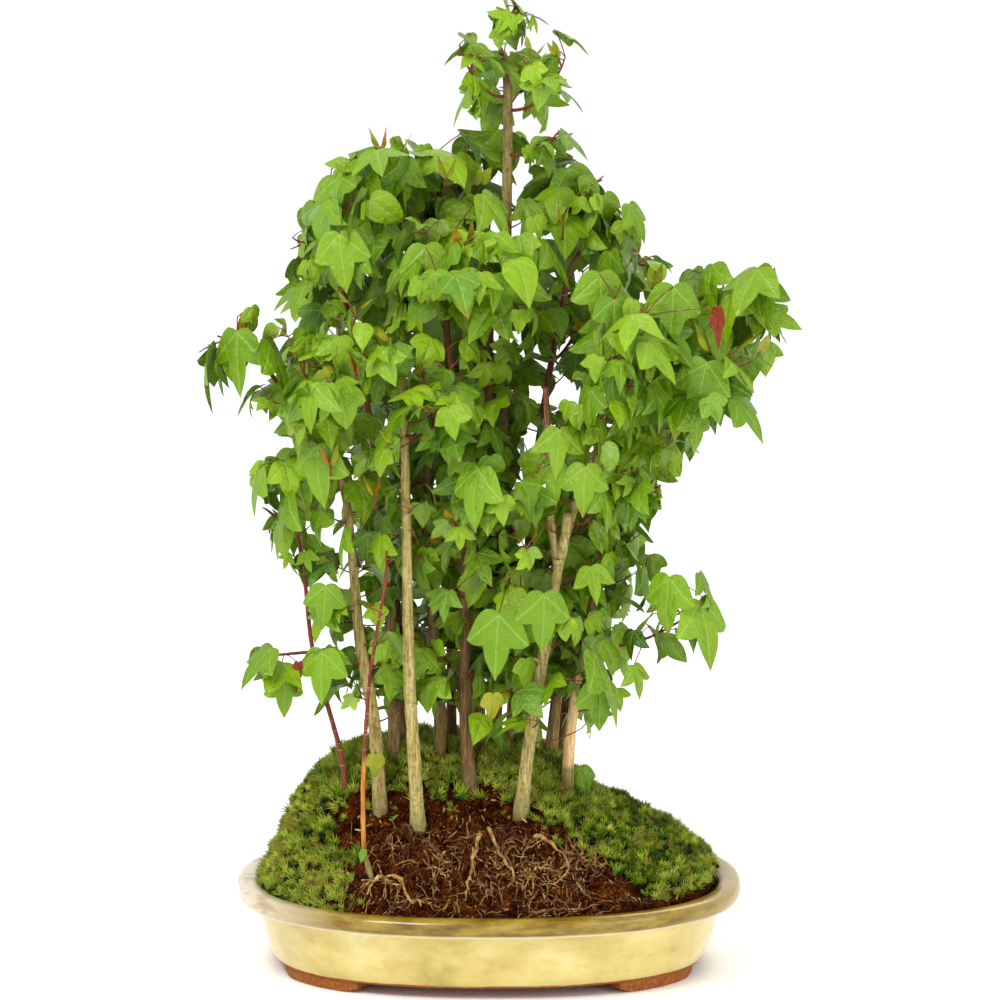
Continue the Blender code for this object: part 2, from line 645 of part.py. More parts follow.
def grow_leaf(bm, face, outward, length, obstacles, chooser):
    """Tries a few poses for a leaf on this face, and grows the first that touches nothing."""
    base = face.calc_center_median()
    for _ in range(LEAF_TRIES):
        lift = chooser.uniform(*PETIOLE_LIFT)
        steepness = math.radians(chooser.uniform(*LEAF_DROOP))
        size = length * chooser.uniform(*LEAF_SIZE)
        sway = chooser.uniform(-LEAF_SWAY, LEAF_SWAY)
        turned = Vector((
            outward.x * math.cos(sway) - outward.y * math.sin(sway),
            outward.x * math.sin(sway) + outward.y * math.cos(sway),
            outward.z,
        ))
        start = base + turned * TRIAL_START
        trial = loft([section(start, *facing(turned), TRIAL_HALF, TRIAL_HALF)]
                     + leaf_sections(base, turned, lift, steepness, size, GAP))
        if obstacles.hit(trial) or touches(bm, trial):
            trial.free()
            continue
        obstacles.add(trial)
        trial.free()
        sections = leaf_sections(base, turned, lift, steepness, size, 0.0)
        turn = best_order(face, sections[0])
        for ring in sections:
            face = grow_face(bm, face, ring[turn:] + ring[:turn])
        return True
    return False


def facing(outward):
    level = Vector((outward.x, outward.y, 0.0)).normalized()
    side = level.cross(Vector((0.0, 0.0, 1.0))).normalized()
    return side, -side.cross(level)


def touches(bm, trial):
    return bool(BVHTree.FromBMesh(bm).overlap(BVHTree.FromBMesh(trial)))


def stem_route(tree, height, tip):
    """A curve from the tree's bark out to the shoot's tip."""
    points, start, end = TREES[tree]
    route = tree_route(points)
    if height is None:
        heading = (route[-1] - route[-2]).normalized()
        begin = route[-1] + heading * 2 * GAP
    else:
        centre, radius = trunk_radius(route, start, end, height)
        heading = Vector((tip[0] - centre.x, tip[1] - centre.y, 0.0)).normalized()
        begin = centre + heading * (radius + STEM_RADIUS * STEM_SINK + GAP)
    tip = Vector(tip)
    bend = begin + heading * ((tip - begin).length * STEM_BOW)
    shares = [i / STEM_STEPS for i in range(STEM_STEPS + 1)]
    return [begin.lerp(bend, t).lerp(bend.lerp(tip, t), t) for t in shares]


def shoot_mesh(tree, height, tip, pairs, leaf, obstacles, chooser):
    """A stem with its leaf pairs and the leaf at its end, and where it leaves the tree."""
    curve = stem_route(tree, height, tip)
    stations = [PAIRS_START + PAIRS_STRETCH * (pair + 0.5) / pairs for pair in range(pairs)]
    half_node = NODE_HALF / (curve[-1] - curve[0]).length
    shares = [0.0]
    for middle in stations:
        shares += [middle - half_node, middle + half_node]
    shares.append(1.0)
    route = [point_at(curve, share) for share in shares]
    steep = abs((route[-1] - route[0]).normalized().z) > UPRIGHT
    bm = loft([square_ring(route, i) for i in range(len(route))])
    stem = bm.copy()
    bm.faces.ensure_lookup_table()
    cap = max(bm.faces, key=lambda f: (f.calc_center_median() - route[0]).length)
    grow_leaf(bm, cap, (route[-1] - route[-2]).normalized(), leaf, obstacles, chooser)
    for number, middle in enumerate(stations):
        centre = point_at(curve, middle)
        heading = point_at(curve, min(1.0, middle + NODE_SPAN)) - point_at(curve, middle - NODE_SPAN)
        across = Vector((heading.y, -heading.x, 0.0)).normalized()
        if steep and number % 2:
            across = Vector((across.y, -across.x, 0.0))
        for outward in (across, -across):
            face = side_face(bm, centre, outward)
            grow_leaf(bm, face, outward, leaf, obstacles, chooser)
    obstacles.add(stem)
    stem.free()
    return bm, route[0]


def point_at(curve, share):
    place = share * (len(curve) - 1)
    index = min(int(place), len(curve) - 2)
    return curve[index].lerp(curve[index + 1], place - index)


def square_ring(route, i):
    """A square section of a stem, with two of its sides upright."""
    along = (route[min(i + 1, len(route) - 1)] - route[max(i - 1, 0)]).normalized()
    side = Vector((along.y, -along.x, 0.0))
    side = side.normalized() if side.length > 0.05 else Vector((1.0, 0.0, 0.0))
    side = (side - along * side.dot(along)).normalized()
    up = along.cross(side)
    radius = STEM_RADIUS * (1 - STEM_TAPER * i / (len(route) - 1))
    corners = [math.pi / 4 + math.pi / 2 * k for k in range(4)]
    return [route[i] + (side * math.cos(a) + up * math.sin(a)) * radius for a in corners]


def side_face(bm, centre, outward):
    """The short face of a stem at this node that looks most nearly outward."""
    scores = []
    for face in bm.faces:
        away = (face.calc_center_median() - centre).length
        if away < NODE_REACH:
            scores.append((face.normal.dot(outward) - NODE_NEARNESS * away, face.index, face))
    return max(scores)[2]


def make_shoots(parent, obstacles):
    for number, (name, (tree, height, tip, pairs, leaf)) in enumerate(SHOOTS.items()):
        chooser = random.Random(LEAF_SEED + number)
        bm, origin = shoot_mesh(tree, height, tip, pairs, leaf, obstacles, chooser)
        add_piece(name, bm, finish("leaf"), parent, origin=origin)


def centre_on_origin(parent):
    """Moves the planting so that the middle of its box stands on the origin."""
    bpy.context.view_layer.update()
    points = []
    for obj in bpy.data.objects:
        if obj.type == "MESH" and not obj.hide_render:
            points += [obj.matrix_world @ vert.co for vert in obj.data.vertices]
    for axis in (0, 1):
        low = min(p[axis] for p in points)
        high = max(p[axis] for p in points)
        parent.location[axis] = -(low + high) / 2


def main():
    clear_scene()
    planting = bpy.data.objects.new("planting", None)
    bpy.context.scene.collection.objects.link(planting)
    obstacles = Obstacles()

    make_tray(planting)
    make_screens(planting)

    soil = soil_mesh()
    bmesh.ops.triangulate(soil, faces=soil.faces)
    ground = BVHTree.FromBMesh(soil)
    obstacles.add(soil)
    mound = add_piece("soil_mound", soil, finish("soil"), planting)
    combine(mound, add_helper("sockets", socket_mesh(), planting), "DIFFERENCE")

    for name, (first, last, shares) in MOSS_PADS.items():
        pad = moss_mesh(first, last, shares)
        obstacles.add(pad)
        add_piece(name, pad, finish("moss"), planting)

    make_trees(planting, obstacles)
    make_roots(planting, ground, obstacles)
    make_shoots(planting, obstacles)
    centre_on_origin(planting)


main()
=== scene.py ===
import math
import random

import bmesh
import bpy
import numpy as np
from mathutils import Matrix, Vector, noise
from mathutils.bvhtree import BVHTree


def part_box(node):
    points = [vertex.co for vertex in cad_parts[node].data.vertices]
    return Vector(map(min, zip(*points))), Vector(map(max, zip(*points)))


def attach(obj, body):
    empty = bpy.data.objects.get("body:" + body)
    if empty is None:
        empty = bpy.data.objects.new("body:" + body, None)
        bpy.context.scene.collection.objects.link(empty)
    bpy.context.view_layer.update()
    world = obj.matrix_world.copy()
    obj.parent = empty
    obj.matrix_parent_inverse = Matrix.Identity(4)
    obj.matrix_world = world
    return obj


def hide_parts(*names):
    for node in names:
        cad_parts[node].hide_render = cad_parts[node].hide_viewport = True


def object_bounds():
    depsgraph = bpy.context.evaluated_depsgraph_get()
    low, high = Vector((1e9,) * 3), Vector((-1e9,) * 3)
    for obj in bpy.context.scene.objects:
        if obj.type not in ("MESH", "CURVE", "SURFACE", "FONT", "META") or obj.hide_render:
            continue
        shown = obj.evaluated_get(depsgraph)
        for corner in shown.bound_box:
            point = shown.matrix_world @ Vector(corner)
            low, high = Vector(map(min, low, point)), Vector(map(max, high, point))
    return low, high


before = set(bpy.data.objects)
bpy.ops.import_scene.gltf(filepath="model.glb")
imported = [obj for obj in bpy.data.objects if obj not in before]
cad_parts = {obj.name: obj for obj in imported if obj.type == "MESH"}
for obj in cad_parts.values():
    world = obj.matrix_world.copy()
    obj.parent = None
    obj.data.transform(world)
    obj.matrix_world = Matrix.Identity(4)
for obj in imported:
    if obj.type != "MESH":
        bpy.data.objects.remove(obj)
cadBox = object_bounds()

potLow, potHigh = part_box("pot")
trayMiddle = Vector(((potLow.x + potHigh.x) / 2, (potLow.y + potHigh.y) / 2, potLow.z))
up = Vector((0, 0, 1))


def inFrame(point):
    return trayMiddle + Vector(point)


def clamp(value, low=0.0, high=1.0):
    return max(low, min(high, value))


def towards(turn, rise=0.0):  # a heading by its angle seen from above
    return Vector((math.cos(turn), math.sin(turn), rise))


def meshOf(bm, name):
    mesh = bpy.data.meshes.new(name)
    bm.to_mesh(mesh)
    bm.free()
    return mesh


def linked(name, content):
    piece = bpy.data.objects.new(name, content)
    bpy.context.scene.collection.objects.link(piece)
    return piece


view = {
    "lookAt": (0.0078, 0.0, 0.3286),  # from the middle of the tray's foot plane
    "distance": 9.0,
    "elevation": 12.0,
    "shows": 0.6905,  # width of the picture at the planting
}
studio = {
    "paper": 30,  # side of the floor sheet
    "drop": 0.0003,  # of the floor under the feet
    "lampsLookAt": (0, 0, 0.3),
    "lamps": {  # place, size, watts
        "keyLamp": ((-0.9, -1.5, 1.9), 0.9, 34),
        "fillLamp": ((1.5, -1.5, 0.7), 1.2, 12),
        "backLamp": ((0.5, 1.5, 1.7), 1.2, 12),
    },
}


def setUpStudio():
    scene = bpy.context.scene
    scene.view_settings.view_transform = "Standard"
    camera = linked("camera", bpy.data.cameras.new("camera"))
    tilt = math.radians(view["elevation"])
    back = Vector((0, -math.cos(tilt), math.sin(tilt)))
    camera.location = inFrame(view["lookAt"]) + back * view["distance"]
    camera.rotation_mode = "QUATERNION"
    camera.rotation_quaternion = (-back).to_track_quat("-Z", "Y")
    camera.data.lens = camera.data.sensor_width * view["distance"] / view["shows"]
    camera.data.clip_end = 50
    scene.camera = camera

    bpy.ops.mesh.primitive_plane_add(size=studio["paper"], location=(0, 0, trayMiddle.z - studio["drop"]))
    floor = bpy.context.object
    floor.name = "floor"
    paper, shader = newPaint("paperFloor")
    setSockets(shader, {"Base Color": (1, 1, 1, 1), "Roughness": 1.0, "Specular IOR Level": 0.0})
    floor.data.materials.append(paper)

    world = bpy.data.worlds.new("studio")
    world.use_nodes = True
    setSockets(world.node_tree.nodes["Background"], {"Color": (1, 1, 1, 1), "Strength": 1.0})
    scene.world = world
    for name, (place, size, watts) in studio["lamps"].items():
        light = bpy.data.lights.new(name, "AREA")
        light.size = size
        light.energy = watts
        lamp = linked(name, light)
        lamp.location = place
        lamp.rotation_mode = "QUATERNION"
        lamp.rotation_quaternion = (Vector(studio["lampsLookAt"]) - lamp.location).to_track_quat("-Z", "Y")


openPaint = {}  # the paint whose nodes are being made


def newPaint(name):
    paint = bpy.data.materials.new(name)
    paint.use_nodes = True
    openPaint["nodes"] = paint.node_tree.nodes
    return paint, paint.node_tree.nodes["Principled BSDF"]


def make(kind, sockets=None, **settings):
    node = openPaint["nodes"].new(kind)
    for key, value in settings.items():
        setattr(node, key, value)
    setSockets(node, sockets or {})
    return node


def setSockets(node, sockets):
    for key, value in sockets.items():
        if isinstance(value, bpy.types.NodeSocket):
            node.id_data.links.new(value, node.inputs[key])
        else:
            node.inputs[key].default_value = value


def maths(operation, *values):
    node = make("ShaderNodeMath", operation=operation)
    setSockets(node, dict(enumerate(values)))
    return node.outputs[0]


def times(first, second):
    return maths("MULTIPLY", first, second)


def plus(first, second):
    return maths("ADD", first, second)


def minus(first, second):
    return maths("SUBTRACT", first, second)


def spread(value, low, high, toLow=0.0, toHigh=1.0):
    node = make("ShaderNodeMapRange", {"Value": value, "From Min": low, "From Max": high,
                                       "To Min": toLow, "To Max": toHigh})
    return node.outputs[0]


def blend(factor, first, second, kind="MIX"):
    node = make("ShaderNodeMix", data_type="RGBA", blend_type=kind)
    setSockets(node, {0: factor, 6: first, 7: second})
    return node.outputs[2]


def ramp(factor, stops):
    node = make("ShaderNodeValToRGB", {"Fac": factor})
    points = node.color_ramp.elements
    while len(points) < len(stops):
        points.new(0.5)
    for point, (place, colour) in zip(points, stops):
        point.position = place
        point.color = colour
    return node.outputs[0]


def rgb(red, green, blue):  # from screen colours of 0 to 255
    return (*((c / 255) ** 2.2 for c in (red, green, blue)), 1)


def speckle(scale, detail=3, roughness=0.55, stretch=None):
    source = make("ShaderNodeTexCoord").outputs["Object"]
    if stretch:
        source = make("ShaderNodeMapping", {"Vector": source, "Scale": stretch}).outputs[0]
    node = make("ShaderNodeTexNoise", {"Vector": source, "Scale": scale, "Detail": detail,
                                       "Roughness": roughness})
    return node.outputs[0]


def bumped(shader, height, strength, distance):
    node = make("ShaderNodeBump", {"Height": height, "Strength": strength, "Distance": distance})
    setSockets(shader, {"Normal": node.outputs[0]})


def attribute(name):
    return make("ShaderNodeAttribute", attribute_name=name).outputs["Fac"]


leafPaint = {
    "dark": rgb(48, 84, 2),
    "middle": rgb(105, 146, 4),
    "bright": rgb(146, 184, 28),
    "cool": rgb(98, 148, 62),
    "vein": rgb(190, 214, 104),
    "under": rgb(150, 180, 88),
    "young": rgb(170, 104, 18),
    "fresh": rgb(176, 168, 44),
    "red": rgb(134, 50, 10),
    "tip": rgb(150, 100, 30),
    "glow": rgb(180, 225, 20),
    "veinLean": 51,  # degrees between the middle vein and the side veins
    "ribs": 9.0,  # fine veins per leaf length
    "sheen": (0.24, 0.40),  # roughness, least and most
    "through": 0.26,  # share of the light that shines through
}


def paintLeaves():
    paint, shader = newPaint("leafSurface")
    flat = make("ShaderNodeSeparateXYZ", {0: make("ShaderNodeUVMap", uv_map="leafUv").outputs[0]})
    across = maths("ABSOLUTE", times(minus(flat.outputs[0], 0.5), 2.0))
    along = times(minus(flat.outputs[1], 0.2), 1.4286)
    lean = math.radians(leafPaint["veinLean"])
    away = minus(times(across, math.cos(lean)), times(along, math.sin(lean)))
    sideAway = maths("ABSOLUTE", away)
    sideAlong = plus(times(across, math.sin(lean)), times(along, math.cos(lean)))
    nearest = maths("MINIMUM", across, sideAway)
    mainVein = spread(nearest, 0.006, 0.026, 1.0, 0.0)
    centreRibs = minus(along, times(across, 0.9))
    sideRibs = minus(sideAlong, times(sideAway, 0.9))
    isCentre = maths("LESS_THAN", across, sideAway)
    chosen = make("ShaderNodeMix", {0: isCentre, 2: sideRibs, 3: centreRibs}, data_type="FLOAT").outputs[0]
    saw = maths("PINGPONG", times(chosen, leafPaint["ribs"]), 0.5)
    fineVein = spread(saw, 0.42, 0.5, 0.0, 0.28)
    veins = maths("MAXIMUM", mainVein, fineVein)

    tint = attribute("tint")
    cloud = speckle(45, 2)
    tone = plus(tint, times(minus(cloud, 0.5), 0.5))
    green = ramp(tone, [(0.0, leafPaint["dark"]), (0.42, leafPaint["middle"]), (0.95, leafPaint["bright"])])
    green = blend(times(attribute("cool"), 0.75), green, leafPaint["cool"])
    green = blend(times(veins, 0.30), green, leafPaint["vein"])
    edge = spread(plus(along, times(cloud, 0.25)), 0.92, 1.12, 0.0, 0.6)
    green = blend(times(edge, attribute("dry")), green, leafPaint["tip"])
    green = blend(times(attribute("under"), 0.7), green, leafPaint["under"])
    ages = zip((0.0, 0.3, 0.6, 1.0), (leafPaint[name] for name in ("bright", "fresh", "young", "red")))
    fresh = ramp(attribute("young"), list(ages))
    colour = blend(spread(attribute("young"), 0.02, 0.45), green, fresh)
    grain = speckle(900, 2)
    setSockets(shader, {"Base Color": colour, "Specular IOR Level": 0.38,
                        "Roughness": spread(grain, 0.3, 0.7, *leafPaint["sheen"])})
    pucker = times(speckle(150, 2), 5.0)
    grooves = times(veins, 0.4)
    relief = plus(minus(times(grain, 0.3), grooves), pucker)
    bumped(shader, relief, 0.75, 0.0008)
    glow = make("ShaderNodeBsdfTranslucent",
                {"Color": blend(0.5, colour, leafPaint["glow"], "MULTIPLY")})
    both = make("ShaderNodeMixShader", {0: leafPaint["through"], 1: shader.outputs[0], 2: glow.outputs[0]})
    setSockets(paint.node_tree.nodes["Material Output"], {"Surface": both.outputs[0]})
    return paint


barkColours = {
    "tan": [(0.3, rgb(112, 92, 46)), (0.48, rgb(168, 152, 88)), (0.72, rgb(206, 194, 134))],
    "grey": [(0.3, rgb(52, 30, 16)), (0.52, rgb(98, 66, 40)), (0.75, rgb(146, 116, 78))],
    "red": [(0.3, rgb(76, 32, 24)), (0.55, rgb(122, 58, 38)), (0.8, rgb(160, 96, 60))],
    "mud": [(0.35, rgb(60, 44, 24)), (0.65, rgb(120, 116, 70))],
    "orange": [(0.4, rgb(168, 96, 24)), (0.6, rgb(204, 142, 58))],
    "torn": [(0.35, rgb(196, 148, 84)), (0.6, rgb(238, 206, 150))],
    "spot": rgb(112, 78, 46),
    "band": rgb(86, 62, 40),
    "lichen": rgb(140, 150, 92),
    "ring": rgb(196, 160, 120),
}


def paintBark():
    paint, shader = newPaint("barkSurface")
    age = attribute("age")  # 1 on a thick trunk, 0 on this year's twig
    pale = attribute("pale")
    lengthwise = speckle(60, 4, 0.65, stretch=(9, 9, 1.1))
    crosswise = speckle(55, 3, 0.6, stretch=(1.5, 1.5, 12))
    fine = speckle(1400, 3, 0.6)
    tan = ramp(lengthwise, barkColours["tan"])
    grey = ramp(lengthwise, barkColours["grey"])
    old = blend(pale, grey, tan)
    spots = speckle(330, 3, 0.6)
    old = blend(spread(spots, 0.54, 0.66, 0.0, 0.6), old, barkColours["spot"])
    old = blend(spread(crosswise, 0.60, 0.70, 0.0, 0.5), old, barkColours["band"])
    old = blend(spread(fine, 0.62, 0.75, 0.0, 0.35), old, barkColours["lichen"])
    red = ramp(lengthwise, barkColours["red"])
    twig = blend(spread(crosswise, 0.62, 0.68, 0.0, 0.6), red, barkColours["ring"])
    colour = blend(age, twig, old)
    colour = blend(attribute("cool"), colour, ramp(fine, barkColours["mud"]))
    colour = blend(attribute("young"), colour, ramp(lengthwise, barkColours["orange"]))
    colour = blend(attribute("tint"), colour, ramp(lengthwise, barkColours["torn"]))
    height = plus(lengthwise, plus(times(fine, 0.35), times(crosswise, -0.4)))
    setSockets(shader, {"Base Color": colour, "Roughness": spread(age, 0, 1, 0.5, 0.82),
                        "Specular IOR Level": 0.3})
    bumped(shader, height, 0.7, 0.0012)
    return paint


mossColours = {
    "strand": [(0.15, rgb(18, 24, 0)), (0.42, rgb(68, 94, 2)), (0.68, rgb(126, 148, 20)),
               (0.95, rgb(204, 212, 84))],
    "cool": rgb(44, 78, 32),
    "dry": rgb(134, 118, 48),
}


def paintMoss():
    paint, shader = newPaint("mossStrands")
    tint = attribute("tint")
    patch = speckle(28, 3, 0.6)
    tone = plus(times(tint, 0.55), times(patch, 0.55))
    # darker towards the foot of each strand: painted shade deep among the strands; lighter at the tip: the
    # moss's paler new growth
    tone = plus(tone, spread(attribute("pale"), 0.0, 1.0, -0.40, 0.30))
    colour = ramp(tone, mossColours["strand"])
    colour = blend(times(attribute("cool"), 0.8), colour, mossColours["cool"])
    colour = blend(attribute("dry"), colour, mossColours["dry"])
    grain = speckle(1500, 2)
    setSockets(shader, {"Base Color": colour, "Roughness": 0.75, "Specular IOR Level": 0.15})
    bumped(shader, grain, 0.5, 0.0005)
    return paint


soilColours = {
    "ground": [(0.38, rgb(12, 3, 0)), (0.51, rgb(48, 19, 3)), (0.61, rgb(92, 48, 13)),
               (0.74, rgb(160, 110, 50))],
    "crumb": [(0.05, rgb(26, 9, 2)), (0.35, rgb(70, 32, 9)), (0.6, rgb(112, 62, 24)),
              (0.82, rgb(176, 130, 68)),
              (0.97, rgb(224, 196, 134))],
}


def paintSoil():
    paint, shader = newPaint("soilCrumbs")
    tint = attribute("tint")
    lump = speckle(90, 4, 0.65)
    grit = speckle(520, 4, 0.7)
    mixed = plus(times(lump, 0.5), times(grit, 0.55))
    colour = ramp(mixed, soilColours["ground"])
    crumb = ramp(tint, soilColours["crumb"])
    colour = blend(spread(tint, 0.0, 0.02, 0.0, 0.85), colour, crumb)
    setSockets(shader, {"Base Color": colour, "Roughness": spread(grit, 0.3, 0.7, 0.7, 1.0),
                        "Specular IOR Level": 0.05})
    bumped(shader, mixed, 1.0, 0.003)
    return paint


rootColours = {
    "skin": [(0.3, rgb(70, 38, 14)), (0.46, rgb(130, 92, 44)), (0.6, rgb(184, 144, 80)),
             (0.75, rgb(226, 196, 126))],
    "dark": rgb(76, 38, 8),
}


def paintRoots():
    paint, shader = newPaint("rootSkin")
    long = speckle(160, 4, 0.6)
    fine = speckle(1600, 2)
    colour = ramp(long, rootColours["skin"])
    colour = blend(attribute("young"), colour, rootColours["dark"])
    setSockets(shader, {"Base Color": colour, "Roughness": spread(fine, 0.3, 0.7, 0.6, 0.85)})
    bumped(shader, plus(long, fine), 0.6, 0.0008)
    return paint


tray = {
    "power": 2.3,  # 2 is an ellipse
    "segments": 176,
    "clayTop": 0.0098,  # glaze starts above this
    # inset from the lip's outer edge, height
    "section": [(0.0272, 0.0080), (0.0262, 0.0084), (0.0254, 0.0094), (0.0238, 0.0130), (0.0216, 0.0180),
                (0.0190, 0.0255), (0.0169, 0.0335), (0.0154, 0.0410), (0.0147, 0.0455), (0.0143, 0.0475),
                (0.0132, 0.0484), (0.0080, 0.0486), (0.0048, 0.0488), (0.0026, 0.0494), (0.0012, 0.0508),
                (0.0004, 0.0530), (0.0000, 0.0555), (0.0003, 0.0580), (0.0012, 0.0601), (0.0028, 0.0614),
                (0.0050, 0.0620), (0.0085, 0.0619), (0.0120, 0.0616), (0.0146, 0.0606), (0.0160, 0.0588),
                (0.0170, 0.0560), (0.0188, 0.0460), (0.0214, 0.0320), (0.0238, 0.0190), (0.0256, 0.0156),
                (0.0290, 0.0140)],
    "footSpan": (17, 55),  # degrees round the oval
    "footInset": (0.0278, 0.0418),
    "footTop": 0.0095,
    "footChamfer": 0.0030,
    "footEdge": 0.0009,
    "holeX": 0.062,
    "holeRadius": 0.0085,
    "drillDepth": 0.02,
    "drillHeight": 0.011,
    "footSteps": 20,
    "sharpFrom": 38,  # degrees between faces
}


glazeColours = {
    "body": [(0.30, rgb(166, 146, 80)), (0.46, rgb(198, 177, 102)), (0.60, rgb(214, 195, 126)),
             (0.78, rgb(230, 215, 164))],
    "streak": rgb(176, 160, 92),
    "lip": [(0.34, rgb(98, 72, 14)), (0.48, rgb(126, 100, 26)), (0.66, rgb(156, 132, 50))],
    "edge": rgb(252, 246, 212),  # where the glaze breaks pale
    "pool": rgb(190, 172, 96),
    "bodyEnds": rgb(182, 160, 86),
    "lipEnds": rgb(222, 206, 166),
    "leftLip": rgb(222, 212, 190),
    "drip": rgb(128, 96, 60),
    "mote": rgb(150, 130, 76),
    "clay": [(0.3, rgb(118, 58, 4)), (0.55, rgb(144, 80, 12)), (0.8, rgb(178, 116, 46))],
}


def paintTray():
    paint, shader = newPaint("mottledGlaze")
    where = make("ShaderNodeTexCoord").outputs["Object"]
    sideways, _, height = make("ShaderNodeSeparateXYZ", {0: where}).outputs
    clouds = speckle(17, 4, 0.6, stretch=(1, 1, 1.6))
    streaks = speckle(30, 4, 0.65, stretch=(1.2, 1.2, 5))
    motes = speckle(420, 3, 0.6)
    body = ramp(clouds, glazeColours["body"])
    body = blend(spread(streaks, 0.56, 0.74, 0.0, 0.55), body, glazeColours["streak"])
    lip = ramp(streaks, glazeColours["lip"])
    isLip = spread(height, 0.0486, 0.0500)
    colour = blend(isLip, body, lip)
    thin = times(spread(height, 0.0455, 0.0482), spread(height, 0.0515, 0.0490))
    colour = blend(times(thin, 0.8), colour, glazeColours["edge"])
    pool = times(spread(height, 0.020, 0.011), spread(clouds, 0.35, 0.6))
    colour = blend(times(pool, 0.4), colour, glazeColours["pool"])
    ends = spread(maths("ABSOLUTE", sideways), 0.120, 0.176)
    leftEnd = spread(sideways, -0.110, -0.172)
    paleEnds = blend(isLip, glazeColours["lipEnds"], glazeColours["bodyEnds"])
    colour = blend(times(ends, 0.6), colour, paleEnds)
    colour = blend(times(leftEnd, times(isLip, 0.7)), colour, glazeColours["leftLip"])
    drip = times(times(isLip, ends), spread(streaks, 0.5, 0.62))
    colour = blend(times(drip, 0.7), colour, glazeColours["drip"])
    colour = blend(spread(motes, 0.66, 0.74, 0.0, 0.4), colour, glazeColours["mote"])
    clay = ramp(motes, glazeColours["clay"])
    wave = times(minus(streaks, 0.5), 0.0022)
    isClay = spread(plus(height, wave), tray["clayTop"] + 0.0004, tray["clayTop"] - 0.0002)
    setSockets(shader, {"Base Color": blend(isClay, colour, clay),
                        "Roughness": spread(isClay, 0, 1, 0.16, 0.8),
                        "Specular IOR Level": 0.5, "Coat Weight": 0.0})
    bumped(shader, plus(clouds, times(motes, 0.08)), 0.25, 0.0012)
    return paint


layerNames = ("tint", "young", "cool", "dry", "under", "age", "pale")


def closeTemplate(bm, name, tipLayer=None):
    for layer in layerNames:
        if layer not in bm.verts.layers.float:
            bm.verts.layers.float.new(layer)
    if tipLayer:  # 0 at the foot, 1 at the tip
        top = max(vert.co.z for vert in bm.verts)
        for vert in bm.verts:
            vert[bm.verts.layers.float[tipLayer]] = max(0, vert.co.z / top)
    if not bm.loops.layers.uv:
        bm.loops.layers.uv.new("leafUv")
    for face in bm.faces:
        face.smooth = True
    return meshOf(bm, name)


templateData = {}


def corners(mesh, layer="position"):
    if (mesh, layer) not in templateData:
        width = 3 if layer == "position" else 1
        flat = np.empty(len(mesh.vertices) * width, np.float32)
        mesh.attributes[layer].data.foreach_get("vector" if width == 3 else "value", flat)
        templateData[(mesh, layer)] = flat.reshape(-1, 3).astype(np.float64) if width == 3 else flat
    return templateData[(mesh, layer)]


def addCopy(parts, template, points, paintSlot=0, **values):
    parts.append((template, points, paintSlot, values))


def joinCopies(name, parts):
    bm = bmesh.new()
    for template, _, _, _ in parts:
        bm.from_mesh(template)
    mesh = meshOf(bm, name)
    points = np.concatenate([part[1] for part in parts])
    mesh.vertices.foreach_set("co", np.ascontiguousarray(points, np.float32).ravel())
    for layer in layerNames:
        levels = [np.broadcast_to(np.asarray(values[layer], np.float32), len(where)) if layer in values
                  else corners(template, layer) for template, where, _, values in parts]
        mesh.attributes[layer].data.foreach_set("value", np.ascontiguousarray(np.concatenate(levels)))
    slots = [np.full(len(template.polygons), slot, np.int32) for template, _, slot, _ in parts]
    mesh.polygons.foreach_set("material_index", np.concatenate(slots))
    mesh.update()
    return mesh


leafShapes = {  # half a blade from its tip round to the petiole, across and along, in leaf lengths
    "broad": [(0, 1), (0.055, 0.905), (0.125, 0.80), (0.185, 0.69), (0.225, 0.58), (0.24, 0.475),
              (0.32, 0.49), (0.42, 0.49), (0.50, 0.465), (0.57, 0.42), (0.535, 0.33), (0.48, 0.21),
              (0.42, 0.09), (0.35, -0.01), (0.25, -0.075), (0.13, -0.08), (0.04, -0.05), (0, -0.02)],
    "short": [(0, 1), (0.06, 0.91), (0.145, 0.79), (0.215, 0.67), (0.265, 0.56), (0.29, 0.475),
              (0.36, 0.465), (0.43, 0.435), (0.495, 0.38), (0.485, 0.29), (0.445, 0.17), (0.385, 0.06),
              (0.30, -0.03), (0.18, -0.075), (0.06, -0.05), (0, -0.02)],
    "narrow": [(0, 1), (0.045, 0.905), (0.105, 0.79), (0.155, 0.67), (0.182, 0.55), (0.19, 0.43),
               (0.28, 0.465), (0.40, 0.495), (0.52, 0.50), (0.64, 0.475), (0.57, 0.37), (0.48, 0.24),
               (0.40, 0.11), (0.31, 0.0), (0.21, -0.07), (0.09, -0.06), (0, -0.02)],
    "young": [(0, 1), (0.055, 0.92), (0.14, 0.80), (0.22, 0.67), (0.28, 0.54), (0.325, 0.42), (0.345, 0.30),
              (0.335, 0.18), (0.29, 0.06), (0.22, -0.02), (0.11, -0.06), (0, -0.02)],
}
leafMix = ("broad", "broad", "broad", "short", "short", "narrow", "narrow", "narrow", "young")
blade = {
    "veinLean": leafPaint["veinLean"],
    "swell": 0.024,  # rise between the veins, in leaf lengths
    "thick": 0.012,
}


